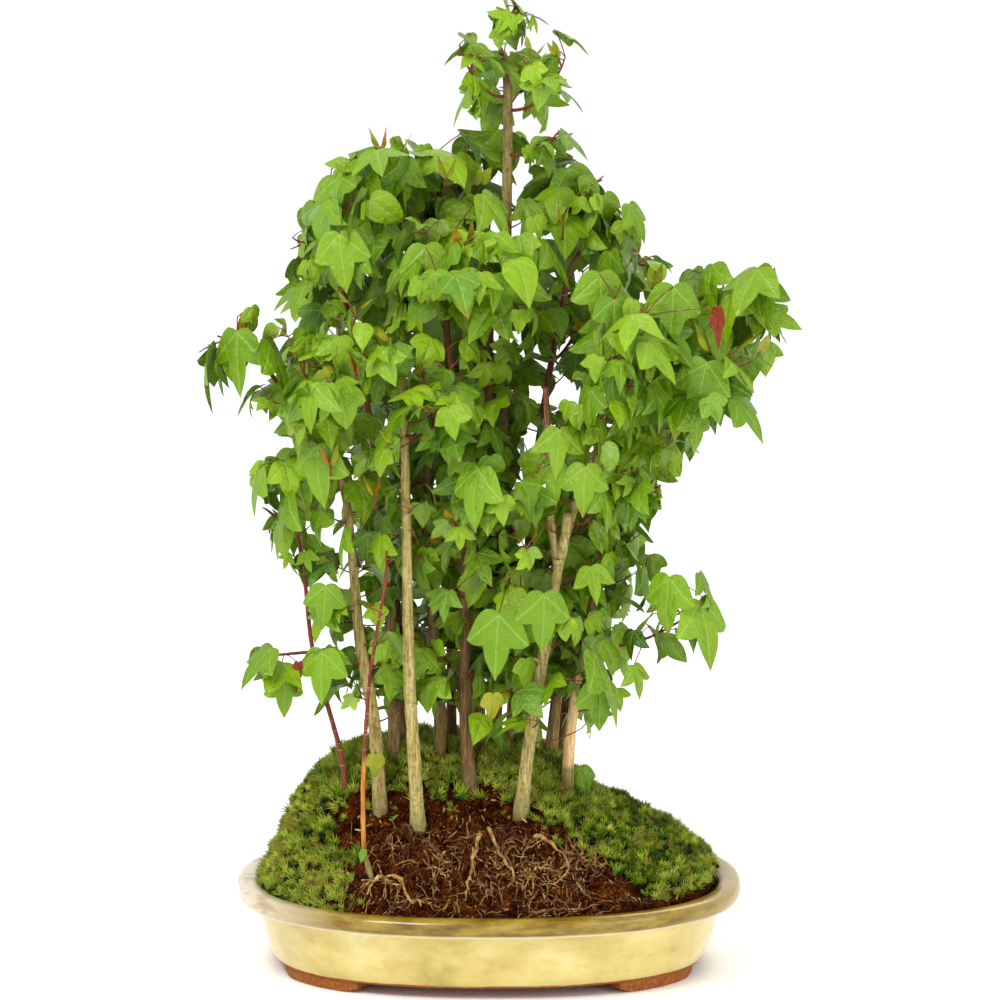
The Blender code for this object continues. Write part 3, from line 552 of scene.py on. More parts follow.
def leafTemplate(name, outline):
    mirrored = outline + [(-across, along) for across, along in outline[-2:0:-1]]
    count = len(mirrored)
    bm = bmesh.new()
    uv = bm.loops.layers.uv.new("leafUv")
    under = bm.verts.layers.float.new("under")
    bmesh.ops.create_circle(bm, cap_ends=True, cap_tris=True, segments=count, radius=1)
    hub = max(bm.verts, key=lambda v: len(v.link_edges))
    rim = sorted((v for v in bm.verts if v is not hub), key=lambda v: math.atan2(v.co.x, v.co.y) % math.tau)
    for vert, (across, along) in zip(rim, mirrored):
        vert.co = (across, along, 0)
    spokes = [edge for edge in bm.edges if hub in edge.verts]
    bmesh.ops.subdivide_edges(bm, edges=spokes, cuts=1)
    bmesh.ops.recalc_face_normals(bm, faces=bm.faces)
    if sum(face.normal.z for face in bm.faces) < 0:
        bmesh.ops.reverse_faces(bm, faces=bm.faces)
    for vert in bm.verts:  # the blade rises between its veins
        turn = abs(math.degrees(math.atan2(vert.co.x, vert.co.y)))
        if turn < blade["veinLean"]:
            swell = math.sin(math.pi * turn / blade["veinLean"])
        else:
            swell = 0.6 * math.sin(math.pi * min(1, (turn - blade["veinLean"]) / 100))
        vert.co.z = blade["swell"] * max(0, swell) * min(1, vert.co.length * 1.6)
    for face in bm.faces:
        for loop in face.loops:
            loop[uv].uv = (0.5 + loop.vert.co.x * 0.5, 0.2 + loop.vert.co.y * 0.7)
    backs = bmesh.ops.duplicate(bm, geom=bm.faces[:] + bm.edges[:] + bm.verts[:])
    backFaces = [g for g in backs["geom"] if isinstance(g, bmesh.types.BMFace)]
    bmesh.ops.reverse_faces(bm, faces=backFaces)
    border = {vert for edge in bm.edges if edge.is_boundary for vert in edge.verts}
    for vert in {v for face in backFaces for v in face.verts} - border:
        vert.co.z -= blade["thick"]
        vert[under] = 1
    bmesh.ops.remove_doubles(bm, verts=list(border), dist=1e-6)
    for edge in bm.edges:
        edge.smooth = not all(vert in border for vert in edge.verts if vert.is_valid)
    return closeTemplate(bm, name)


tubeTemplates = {}


def tubeTemplate(sides, rings):
    if (sides, rings) not in tubeTemplates:
        bm = bmesh.new()
        bmesh.ops.create_cone(bm, cap_ends=True, segments=sides, radius1=1, radius2=1, depth=2)
        walls = [edge for edge in bm.edges if abs(edge.verts[0].co.z - edge.verts[1].co.z) > 1]
        if rings > 2:
            bmesh.ops.subdivide_edges(bm, edges=walls, cuts=rings - 2)
        mesh = closeTemplate(bm, f"tube{sides}x{rings}")
        points = corners(mesh)
        row = np.rint((points[:, 2] + 1) / 2 * (rings - 1)).astype(int)
        tubeTemplates[(sides, rings)] = (mesh, row, points[:, 0].copy(), points[:, 1].copy())
    return tubeTemplates[(sides, rings)]


def layTube(parts, route, radii, sides, paintSlot=0, relief=None, **values):
    mesh, row, cosine, sine = tubeTemplate(sides, len(route))
    sideways, upwards = [], []
    side = Vector((1, 0, 0)) if abs((route[1] - route[0]).normalized().x) < 0.9 else Vector((0, 1, 0))
    for i in range(len(route)):
        along = (route[min(i + 1, len(route) - 1)] - route[max(i - 1, 0)]).normalized()
        side = (side - along * side.dot(along)).normalized()
        sideways.append(side)
        upwards.append(along.cross(side))
    reach = np.asarray(radii, float)[row]
    centres = np.array(route)[row]
    outwards = np.array(sideways)[row] * cosine[:, None] + np.array(upwards)[row] * sine[:, None]
    points = centres + outwards * reach[:, None]
    if relief:
        for i, point in enumerate(points):
            outward = Vector(point - centres[i])
            points[i] += np.array(outward.normalized()) * relief(Vector(point), reach[i])
    for name, value in values.items():
        if np.ndim(value):
            values[name] = np.asarray(value, float)[row]
    addCopy(parts, mesh, points, paintSlot, **values)


def curveThrough(points, spacing):
    points = [Vector(point) for point in points]
    padded = [2 * points[0] - points[1], *points, 2 * points[-1] - points[-2]]
    route = []
    for a, b, c, d in zip(padded, padded[1:], padded[2:], padded[3:]):
        steps = max(1, round((c - b).length / spacing))
        for t in (step / steps for step in range(steps)):
            route.append(0.5 * (2 * b + (c - a) * t + (2 * a - 5 * b + 4 * c - d) * t * t
                                + (3 * b - a - 3 * c + d) * t ** 3))
    return route + [points[-1]]


def bow(start, bend, end, count):
    return [start.lerp(bend, t).lerp(bend.lerp(end, t), t) for t in (i / (count - 1) for i in range(count))]


def finishPiece(name, parts, paints, nodes=()):
    mesh = joinCopies(name, parts) if isinstance(parts, list) else meshOf(parts, name)
    for paint in paints:
        mesh.materials.append(paint)
    piece = linked(name, mesh)
    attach(piece, "root")
    if nodes:
        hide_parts(*nodes)
    return piece


def ovalRatio(inset):
    halfLength = (potHigh.x - potLow.x) / 2
    halfWidth = (potHigh.y - potLow.y) / 2
    return halfLength - inset, halfWidth - inset


def ovalPoint(turn, inset, height):
    a, b = ovalRatio(inset)
    cosine, sine = math.cos(turn), math.sin(turn)
    share = 2 / tray["power"]
    return inFrame((math.copysign(abs(cosine) ** share, cosine) * a,
                    math.copysign(abs(sine) ** share, sine) * b, height))


def buildTray(paint):
    bm = bmesh.new()
    made = bmesh.ops.create_circle(bm, cap_ends=False, segments=tray["segments"], radius=1)["verts"]
    inset, height = tray["section"][0]
    for vert in made:
        vert.co = ovalPoint(math.atan2(vert.co.y, vert.co.x), inset, height)
    ring = bm.edges[:]
    bmesh.ops.contextual_create(bm, geom=ring)
    for nextInset, nextHeight in tray["section"][1:]:
        grown = bmesh.ops.extrude_edge_only(bm, edges=ring)["geom"]
        verts = [g for g in grown if isinstance(g, bmesh.types.BMVert)]
        a, b = ovalRatio(inset)
        nextA, nextB = ovalRatio(nextInset)
        bmesh.ops.scale(bm, verts=verts, vec=(nextA / a, nextB / b, 1), space=Matrix.Translation(-trayMiddle))
        bmesh.ops.translate(bm, verts=verts, vec=(0, 0, nextHeight - height))
        ring = [g for g in grown if isinstance(g, bmesh.types.BMEdge)]
        inset, height = nextInset, nextHeight
    bmesh.ops.contextual_create(bm, geom=ring)
    bmesh.ops.recalc_face_normals(bm, faces=bm.faces)
    pot = finishPiece("pot_tray", bm, [paint], ["pot"])

    helpers = [("UNION", trayFoot(mirrorX, mirrorY)) for mirrorX in (-1, 1) for mirrorY in (-1, 1)]
    for x in (-tray["holeX"], tray["holeX"]):
        drill = bmesh.new()
        place = Matrix.Translation(inFrame((x, 0, tray["drillHeight"])))
        bmesh.ops.create_cone(drill, cap_ends=True, segments=40, radius1=tray["holeRadius"],
                              radius2=tray["holeRadius"], depth=tray["drillDepth"], matrix=place)
        helpers.append(("DIFFERENCE", drill))
    for operation, shape in helpers:
        helper = linked("helper", meshOf(shape, "helper"))
        cut = pot.modifiers.new("join", "BOOLEAN")
        cut.operation = operation
        cut.object = helper
        applyModifiers(pot)
        bpy.data.objects.remove(helper, do_unlink=True)
    pot.data.shade_smooth()
    pot.data.set_sharp_from_angle(angle=math.radians(tray["sharpFrom"]))
    return pot


def trayFoot(mirrorX, mirrorY):
    first, last = (math.radians(a) for a in tray["footSpan"])
    outer, inner = tray["footInset"]
    steps = tray["footSteps"]
    bm = bmesh.new()
    bmesh.ops.create_cone(bm, cap_ends=True, segments=6, radius1=1, radius2=1, depth=2)
    walls = [edge for edge in bm.edges if abs(edge.verts[0].co.z - edge.verts[1].co.z) > 1]
    bmesh.ops.subdivide_edges(bm, edges=walls, cuts=steps - 1)
    for vert in bm.verts:
        i = round((vert.co.z + 1) / 2 * steps)
        turn = first + (last - first) * i / steps
        low = tray["footChamfer"] * max(0, 1 - 8 * min(i, steps - i) / steps)
        edge = tray["footEdge"]
        section = [(inner, low + edge), (inner - edge, low), (outer + edge, low), (outer, low + edge),
                   (outer, tray["footTop"]), (inner, tray["footTop"])]
        inset, height = section[round(math.atan2(vert.co.y, vert.co.x) / math.tau * 6) % 6]
        point = ovalPoint(turn, inset, height) - trayMiddle
        vert.co = inFrame((point.x * mirrorX, point.y * mirrorY, point.z))
    bmesh.ops.recalc_face_normals(bm, faces=bm.faces)
    return bm


def applyModifiers(piece):
    graph = bpy.context.evaluated_depsgraph_get()
    mesh = bpy.data.meshes.new_from_object(piece.evaluated_get(graph))
    old = piece.data
    piece.modifiers.clear()
    piece.data = mesh
    bpy.data.meshes.remove(old)


def seenFromFront(place):
    here = place - trayMiddle
    return here.x, here.z + here.y * math.tan(math.radians(view["elevation"]))


def cadCopy(name, node):
    bm = bmesh.new()
    bm.from_mesh(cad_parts[node].data)
    bmesh.ops.remove_doubles(bm, verts=bm.verts, dist=1e-6)
    return linked(name, meshOf(bm, name))


def surfaceOf(mesh):
    return BVHTree.FromPolygons([vert.co for vert in mesh.vertices],
                                [face.vertices for face in mesh.polygons])


def addLayers(mesh):
    for layer in layerNames:
        mesh.attributes.new(layer, "FLOAT", "POINT")


def remeshed(piece, voxel, smoothing):
    mod = piece.modifiers.new("remesh", "REMESH")
    mod.mode = "VOXEL"
    mod.voxel_size = voxel
    mod.use_smooth_shade = True
    ease = piece.modifiers.new("ease", "SMOOTH")
    ease.factor = 0.5
    ease.iterations = smoothing
    applyModifiers(piece)


mound = {
    "voxel": 0.0018,
    "lumps": 0.0036,  # relief of the bare soil
    "clods": 0.0030,
    "crumbs": 9500,
    "fibres": 820,
    "bundles": 60,  # of fibres that lie together
    "seed": 5,
    "floor": 0.05,  # nothing lies lower than this, beside the tray's lip
    "back": 0.04,  # crumbs end here, behind the trees
    "crumbSize": (0.0006, 0.0013),
    "chipShare": 0.18,  # pale slivers among the crumbs
    "bigShare": 0.18,
    "fibreLength": (0.005, 0.020),
    "fibrePoints": 6,
    "fibreThick": (0.00016, 0.0002, 0.00025, 0.0004, 0.0007),
    "bundleWidth": 0.0045,
    "slope": -0.045,  # the bare front slope starts here
    "brown": (0.0, 0.1, 0.4, 0.8, 1.0, 1.0),  # how dark fibres are
    "bundleBrown": (0.0, 0.1, 0.5, 1.0),
}
moss = {
    "voxel": 0.0024,
    "cushions": 0.0052,
    "spacing": 0.0022,
    "ridgeSpacing": 0.0020,
    "backSpacing": 0.0025,
    "seed": 11,
    "sunk": 0.0006,  # tufts start this deep
    "clump": 0.009,  # size of lighter and darker clumps
    "stars": ((10, 1.0, 1.0), (9, 1.15, 0.8), (11, 0.9, 1.15)),  # strands, height, lean of a tuft
    "hairs": ((9, 1.3, 0.60), (10, 1.5, 0.50)),
    "pads": {  # with longer hairs or not, size, lighter, bluer, share of dry tufts
        "moss_left": (True, 0.0044, 0.14, 0.0, 0.28),
        "moss_right": (True, 0.0047, -0.24, 0.0, 0.10),
        "moss_back": (False, 0.0044, 0.04, 0.2, 0.10),
    },
    "ridge": {"size": 0.0056, "light": 0.42, "cool": 0.40, "dry": 0.16},
    "ridgeMiddle": 0.012,  # the ridge's front and back meet here
}


def roughened(piece, amount, size, floorZ):
    places = [(vert.co.copy(), vert.normal.copy()) for vert in piece.data.vertices]
    moved = [place + (normal * 0.7 + up * 0.3) * noise.fractal(place / size, 0.75, 2.1, 4) * amount
             if normal.z > 0.15 and place.z > floorZ else place for place, normal in places]
    piece.data.vertices.foreach_set("co", np.array(moved, np.float32).ravel())
    piece.data.update()


def onSurface(tree, x, y):
    hit = tree.ray_cast(Vector((x, y, 0.4)), -up)
    return hit[0], hit[1]


mossEdges = {
    "ridgeX": (-0.110, -0.095, -0.020, 0.022, 0.030, 0.050, 0.070, 0.100, 0.120),
    "ridgeZ": (0.100, 0.122, 0.122, 0.118, 0.106, 0.095, 0.082, 0.060, 0.045),  # as seen from the front
    "leftZ": (0.045, 0.060, 0.075, 0.085, 0.099, 0.117, 0.142),
    "leftX": (-0.098, -0.096, -0.090, -0.106, -0.112, -0.102, -0.100),
    "ragged": 0.021,
}


def wearsMoss(place):
    x, height = seenFromFront(place)
    drift = (noise.fractal(place / 0.010, 0.8, 2.0, 3) - 0.1) * mossEdges["ragged"]
    ridge = np.interp(x, mossEdges["ridgeX"], mossEdges["ridgeZ"])
    left = np.interp(height, mossEdges["leftZ"], mossEdges["leftX"])
    return height + drift > ridge or x < left + drift or drift > 0.9 * mossEdges["ragged"]


def mossTuft(strands, height, lean):
    bm = bmesh.new()
    for k in range(strands):
        turn = math.tau * k / strands + 0.6 * math.sin(k * 3.1)
        tilt = lean * (0.30, 1.0, 0.65, 0.85)[k % 4]
        reach = height * (1.0, 0.8, 0.9)[k % 3]
        matrix = (Matrix.Rotation(turn, 4, "Z") @ Matrix.Rotation(tilt, 4, "Y")
                  @ Matrix.Translation((0, 0, reach * 0.45)))
        bmesh.ops.create_cone(bm, cap_ends=True, segments=3, radius1=height * 0.10, radius2=0,
                              depth=reach, matrix=matrix)
    return closeTemplate(bm, "tuft", "pale")


def transformed(points, matrix):
    turned = np.array(matrix.to_3x3())
    return points @ turned.T + np.array(matrix.translation)


def settle(place, normal, chooser, size, lean=0.25):
    facing = (normal + Vector((chooser.gauss(0, lean), chooser.gauss(0, lean), 0.2))).normalized()
    turn = up.rotation_difference(facing).to_matrix().to_4x4()
    spin = Matrix.Rotation(chooser.uniform(0, math.tau), 4, "Z")
    return Matrix.Translation(place) @ turn @ spin @ Matrix.Scale(size, 4)


def growMossOn(parts, tree, box, spacing, accept, chooser, tufts, look):
    low, high = box
    columns = int((high.x - low.x) / spacing)
    rows = int((high.y - low.y) / spacing)
    for i in range(columns):
        for j in range(rows):
            x = low.x + (i + chooser.random()) * spacing
            y = low.y + (j + chooser.random()) * spacing
            place, normal = onSurface(tree, x, y)
            if place is None or not accept(place, normal):
                continue
            template, points = chooser.choice(tufts)
            size = chooser.uniform(0.6, 1.4) * look["size"]
            matrix = settle(place - normal * moss["sunk"], normal, chooser, size)
            clump = noise.fractal(place / moss["clump"], 0.8, 2.0, 3) * 0.75
            tint = clamp(chooser.gauss(0.5, 0.22) + clump + look["light"])
            addCopy(parts, template, transformed(points, matrix), tint=tint, cool=look["cool"],
                    dry=1.0 if chooser.random() < look["dry"] else 0.0)


def buildMound(soilPaint, rootPaint):
    chooser = random.Random(mound["seed"])
    soil = cadCopy("soil_top", "soil_mound")
    remeshed(soil, mound["voxel"], 3)
    roughened(soil, mound["lumps"], 0.010, mound["floor"])
    roughened(soil, mound["clods"], 0.024, mound["floor"])
    soil.data.materials.append(soilPaint)
    addLayers(soil.data)
    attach(soil, "root")
    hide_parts("soil_mound")
    ground = surfaceOf(soil.data)

    crumb = bmesh.new()
    bmesh.ops.create_icosphere(crumb, subdivisions=1, radius=1)
    for vert in crumb.verts:
        vert.co *= 0.75 + 0.45 * noise.noise(vert.co * 2.3)
    crumbMesh = closeTemplate(crumb, "crumb")
    for polygon in crumbMesh.polygons:
        polygon.use_smooth = False
    crumbPoints = corners(crumbMesh)
    low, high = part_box("soil_mound")
    parts = []
    for _ in range(mound["crumbs"]):
        x = chooser.uniform(low.x, high.x)
        y = chooser.uniform(low.y, trayMiddle.y + mound["back"])
        place, normal = onSurface(ground, x, y)
        if place is None or place.z < mound["floor"]:
            continue
        chip = chooser.random() < mound["chipShare"]
        size = chooser.uniform(*mound["crumbSize"])
        size *= (2.5 if chooser.random() < mound["bigShare"] else 1) * (1.1 if chip else 1)
        matrix = settle(place + normal * size * 0.35, normal, chooser, size, 1.2)
        slim = (0.35, 0.18) if chip else (chooser.uniform(0.55, 1), chooser.uniform(0.5, 0.85))
        matrix = matrix @ Matrix.Diagonal((1.4 if chip else 1, *slim, 1))
        tint = chooser.uniform(0.68, 0.97) if chip else clamp(chooser.gauss(0.30, 0.17), 0.03, 0.95)
        addCopy(parts, crumbMesh, transformed(crumbPoints, matrix), tint=tint)
    finishPiece("soil_crumbs", parts, [soilPaint])

    parts = []
    bundles = []
    for _ in range(mound["bundles"]):
        x = chooser.gauss(0.000, 0.058)
        y = mound["slope"] - abs(chooser.gauss(0, 0.034))
        bundles.append((x, y, chooser.choice(mound["bundleBrown"])))
    for number in range(mound["fibres"]):
        x, y, brown = chooser.choice(bundles)
        if number % 2:
            x += chooser.gauss(0, mound["bundleWidth"])
            y += chooser.gauss(0, mound["bundleWidth"])
            heading = chooser.gauss(-1.6, 0.8)
        else:
            x = chooser.gauss(0.005, 0.055)
            y = mound["slope"] - abs(chooser.gauss(0, 0.038))
            brown = chooser.choice(mound["brown"])
            heading = chooser.uniform(0, math.tau)
        length = chooser.uniform(*mound["fibreLength"])
        route = []
        gaps = mound["fibrePoints"] - 1
        for k in range(gaps + 1):
            heading += chooser.uniform(-0.6, 0.6)
            spot = inFrame((x, y, 0))
            place, normal = onSurface(ground, spot.x, spot.y)
            if place is None or place.z < mound["floor"]:
                break
            lift = 0.0006 + 0.0016 * math.sin(math.pi * k / gaps) * chooser.random()
            route.append(place + normal * lift)
            x += math.cos(heading) * length / gaps
            y += math.sin(heading) * length / gaps
        if len(route) < 4:
            continue
        thick = chooser.choice(mound["fibreThick"])
        radii = [thick * (1 - 0.6 * k / len(route)) for k in range(len(route))]
        layTube(parts, route, radii, 4, young=brown)
    finishPiece("soil_fibres", parts, [rootPaint])
    print("soil, crumbs and fibres laid")
    return ground


def buildMoss(ground, mossPaint):
    chooser = random.Random(moss["seed"])
    stars, hairs = ([(tuft, corners(tuft)) for tuft in (mossTuft(*shape) for shape in moss[kind])]
                    for kind in ("stars", "hairs"))
    for node, (hairy, size, light, cool, dry) in moss["pads"].items():
        pad = cadCopy(node + "_cushion", node)
        remeshed(pad, moss["voxel"], 3)
        roughened(pad, moss["cushions"], 0.016, mound["floor"])
        tree = surfaceOf(pad.data)
        parts = []
        look = {"size": size, "light": light, "cool": cool, "dry": dry}
        growMossOn(parts, tree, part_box(node), moss["spacing"], lambda place, normal: normal.z > 0.05, chooser,
                   stars + hairs if hairy else stars, look)
        base = pad.data
        addLayers(base)
        # the cushion under the tufts gets a low tint and no tip height, so it is painted in the darkest tone,
        # as shade under the strands
        addCopy(parts, base, corners(base), tint=0.1)
        bpy.data.objects.remove(pad, do_unlink=True)
        finishPiece(node + "_carpet", parts, [mossPaint], [node])
    parting = trayMiddle.y + moss["ridgeMiddle"]
    for name, inFront, spacing in (("moss_before_trees", True, moss["ridgeSpacing"]),
                                   ("moss_behind_trees", False, moss["backSpacing"])):
        parts = []
        growMossOn(parts, ground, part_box("soil_mound"), spacing,
                   lambda place, normal: (place.z > mound["floor"] and (place.y < parting) == inFront
                                          and wearsMoss(place)),
                   chooser, stars + hairs + hairs, moss["ridge"])
        finishPiece(name, parts, [mossPaint])
    print("moss grown")


trees = {  # route from the ground up, radius at the ground and at the top, how pale the bark is
    "tree_front_left": (((-0.049, -0.042, 0.109), (-0.052, -0.043, 0.166), (-0.055, -0.044, 0.221),
                         (-0.056, -0.045, 0.289), (-0.058, -0.047, 0.394), (-0.060, -0.050, 0.451)),
                        0.0054, 0.0026, 1.0),
    "tree_front_right": (((0.023, -0.035, 0.121), (0.028, -0.037, 0.165), (0.039, -0.041, 0.234),
                          (0.050, -0.045, 0.300), (0.063, -0.048, 0.345), (0.074, -0.050, 0.367),
                          (0.084, -0.055, 0.426)), 0.0052, 0.0022, 1.0),
    "tree_apex": (((0.003, 0.045, 0.147), (0.007, 0.040, 0.256), (0.010, 0.030, 0.401),
                   (0.012, 0.020, 0.504), (0.013, 0.005, 0.616), (0.008, 0.000, 0.645)), 0.0062, 0.0034, 0.6),
    "tree_middle_front": (((-0.013, -0.010, 0.132), (-0.016, -0.010, 0.177), (-0.017, -0.012, 0.289),
                           (-0.022, -0.018, 0.375), (-0.034, -0.030, 0.512)), 0.0054, 0.0021, 0.12),
    "tree_middle_back": (((-0.005, 0.020, 0.145), (-0.008, 0.020, 0.211), (-0.006, 0.015, 0.290),
                          (-0.001, 0.000, 0.386), (0.002, -0.010, 0.455)), 0.0050, 0.0020, 0.15),
    "tree_thin": (((0.014, 0.030, 0.141), (0.016, 0.030, 0.194), (0.017, 0.022, 0.260),
                   (0.016, 0.010, 0.320)), 0.0034, 0.0018, 0.4),
    "tree_left_middle": (((-0.035, 0.010, 0.140), (-0.034, 0.010, 0.177), (-0.041, 0.008, 0.277),
                          (-0.043, 0.005, 0.378), (-0.052, 0.000, 0.478), (-0.063, -0.005, 0.547)),
                         0.0052, 0.0020, 0.35),
    "tree_back_dark": (((-0.026, 0.045, 0.149), (-0.026, 0.050, 0.226), (-0.024, 0.065, 0.308),
                        (-0.027, 0.080, 0.369)), 0.0042, 0.0019, 0.0),
    "tree_left_upper": (((-0.066, 0.000, 0.136), (-0.066, 0.000, 0.177), (-0.070, 0.002, 0.264),
                         (-0.080, 0.005, 0.370), (-0.105, 0.012, 0.497)), 0.0048, 0.0019, 0.3),
    "tree_left_back": (((-0.060, 0.020, 0.142), (-0.061, 0.022, 0.203), (-0.065, 0.035, 0.257),
                        (-0.072, 0.055, 0.310), (-0.086, 0.075, 0.363)), 0.0042, 0.0018, 0.1),
    "tree_left_arm": (((-0.075, -0.030, 0.117), (-0.079, -0.032, 0.178), (-0.089, -0.034, 0.239),
                       (-0.098, -0.036, 0.336), (-0.110, -0.036, 0.360), (-0.129, -0.035, 0.390),
                       (-0.152, -0.034, 0.429)), 0.0056, 0.0017, 0.75),
    "tree_left_whip": (((-0.099, -0.020, 0.118), (-0.102, -0.022, 0.152), (-0.114, -0.026, 0.199),
                        (-0.122, -0.028, 0.232), (-0.128, -0.030, 0.289), (-0.136, -0.032, 0.334)),
                       0.0019, 0.0012, 0.2),
    "tree_sapling": (((-0.083, -0.075, 0.086), (-0.086, -0.074, 0.102), (-0.086, -0.072, 0.155),
                      (-0.081, -0.069, 0.223), (-0.071, -0.067, 0.285), (-0.070, -0.067, 0.307)),
                     0.0017, 0.0010, 0.75),
    "tree_right_torn": (((0.054, 0.000, 0.127), (0.058, 0.000, 0.175), (0.069, 0.002, 0.242),
                         (0.073, 0.004, 0.271), (0.081, 0.000, 0.322), (0.093, -0.005, 0.365)),
                        0.0046, 0.0018, 0.5),
    "tree_right_arm": (((0.043, 0.030, 0.142), (0.049, 0.030, 0.194), (0.061, 0.030, 0.244),
                        (0.076, 0.028, 0.287), (0.093, 0.022, 0.338), (0.125, 0.004, 0.428)),
                       0.0048, 0.0018, 0.4),
    "tree_right_back": (((0.050, 0.050, 0.129), (0.055, 0.050, 0.183), (0.063, 0.055, 0.225),
                         (0.077, 0.070, 0.278), (0.091, 0.085, 0.332)), 0.0042, 0.0018, 0.2),
    "tree_right_upper": (((0.022, 0.047, 0.145), (0.025, 0.045, 0.220), (0.029, 0.042, 0.299),
                          (0.038, 0.036, 0.385), (0.054, 0.028, 0.479)), 0.0048, 0.0020, 0.3),
}
arms = {  # thicker side branches
    "tree_front_right": [(((0.048, -0.0445, 0.292), (0.042, -0.046, 0.331), (0.042, -0.047, 0.362),
                           (0.039, -0.050, 0.418)), 0.0036, 0.0020),
                         (((0.0495, -0.045, 0.298), (0.052, -0.050, 0.312), (0.054, -0.052, 0.331)), 0.0038,
                          0.0031)],
}
bark = {
    "sides": 14,
    "armSides": 12,
    "step": 0.004,  # between rings
    "rooted": 0.012,
    "flare": 0.24,
    "slim": 0.90,  # share of the solid trunk's radius
    "relief": 0.0005,
    "knots": 7,
    "knotSwell": 0.13,
    "knotLength": 0.0022,
    "flareHeight": 0.007,
    "mudHeight": 0.016,
    "oldCut": (0.618, 0.004, 0.45),  # on tree_apex: height, length of the step, how much thinner above
    "greyFrom": (0.0019, 0.0012),  # radius where bark turns grey, and over how much
    "tornSpan": (0.014, 0.078),
    "stubs": 4,
    "stubLength": (0.002, 0.0055),
    "stubThick": 0.34,  # share of the trunk's radius
    "seed": 200,
}


def trunkRoute(name):
    points = [inFrame(p) for p in trees[name][0]]
    route = curveThrough(points, bark["step"])
    down = (route[0] - route[1]).normalized()
    return [route[0] + down * bark["rooted"], route[0] + down * bark["rooted"] * 0.5, *route]


def trunkAt(name, height):
    route = trunkRoute(name)
    _, start, end, _ = trees[name]
    for i in range(len(route) - 1):
        if route[i].z - trayMiddle.z <= height <= route[i + 1].z - trayMiddle.z:
            return route[i], start + (end - start) * i / len(route)
    return route[-1], end


def barkRelief(point, radius):
    ridges = noise.noise(Vector((point.x * 420, point.y * 420, point.z * 60)))
    lumps = noise.noise(point * 160)
    return (ridges * 0.55 + lumps * 0.6) * bark["relief"] * min(1, radius / 0.004)


def barkAge(radius):
    thin, over = bark["greyFrom"]
    return clamp((radius - thin) / over)


def buildTree(name, barkPaint, chooser):
    parts = []
    _, start, end, pale = trees[name]
    route = trunkRoute(name)
    last = len(route) - 1
    ground = route[2]
    knots = [chooser.uniform(0.12, 0.95) for _ in range(bark["knots"])]
    cutAt, cutOver, cutShare = bark["oldCut"]
    tornLow, tornHigh = bark["tornSpan"]
    radii, ages, mud, fresh, torn = [], [], [], [], []
    for i, point in enumerate(route):
        share = max(0, i - 2) / (last - 2)
        radius = (start + (end - start) * share) * (bark["slim"] if start > 0.003 else 1)
        rise = point.z - ground.z
        radius *= 1 + bark["flare"] * math.exp(-max(0, rise) / bark["flareHeight"])
        for knot in knots:
            away = (share - knot) * last * bark["step"] / bark["knotLength"]
            radius *= 1 + bark["knotSwell"] * math.exp(-away ** 2)
        if name == "tree_apex":  # thins at once above its old cut
            radius *= 1 - cutShare * clamp((point.z - cutAt) / cutOver)
        radii.append(radius)
        ages.append(barkAge(radius))
        mud.append(clamp(0.7 - rise / bark["mudHeight"], 0.0, 0.5))
        fresh.append(0.0)
        edge = rise + 0.004 * math.sin(i * 2.1)
        torn.append(1.0 if name == "tree_right_torn" and tornLow < edge < tornHigh else 0.0)
    if name == "tree_sapling":
        rises = [max(0, p.z - ground.z) for p in route]
        ages = [max(0.0, 1 - rise / 0.020) for rise in rises]
        fresh = [clamp((rise - 0.006) / 0.014) * clamp((0.080 - rise) / 0.012, 0.0, 0.95) for rise in rises]
        mud = [0.0] * len(route)
    if name == "tree_left_whip":
        ages = [a * 0.3 for a in ages]
    layTube(parts, route, radii, bark["sides"], relief=barkRelief,
            age=ages, pale=pale, cool=mud, young=fresh, tint=torn)
    for points, armStart, armEnd in arms.get(name, ()):
        armRoute = curveThrough([inFrame(p) for p in points], bark["step"])
        count = len(armRoute)
        armRadii = [armStart + (armEnd - armStart) * i / (count - 1) for i in range(count)]
        layTube(parts, armRoute, armRadii, bark["armSides"], relief=barkRelief, pale=pale,
                age=[barkAge(radius) for radius in armRadii])
    for _ in range(bark["stubs"] if start > 0.004 else 1):  # stubs of pruned twigs
        i = int(chooser.uniform(0.25, 0.9) * last)
        outward = towards(chooser.uniform(0, math.tau), chooser.uniform(0.5, 1.0)).normalized()
        length = chooser.uniform(*bark["stubLength"]) + radii[i]
        thick = radii[i] * bark["stubThick"]
        stub = [route[i] + outward * length * t for t in (0, 0.5, 0.95, 1.0)]
        layTube(parts, stub, [thick * 1.3, thick, thick * 0.9, thick * 0.5], 8, age=ages[i], pale=pale)
    return finishPiece(name + "_wood", parts, [barkPaint], [name])


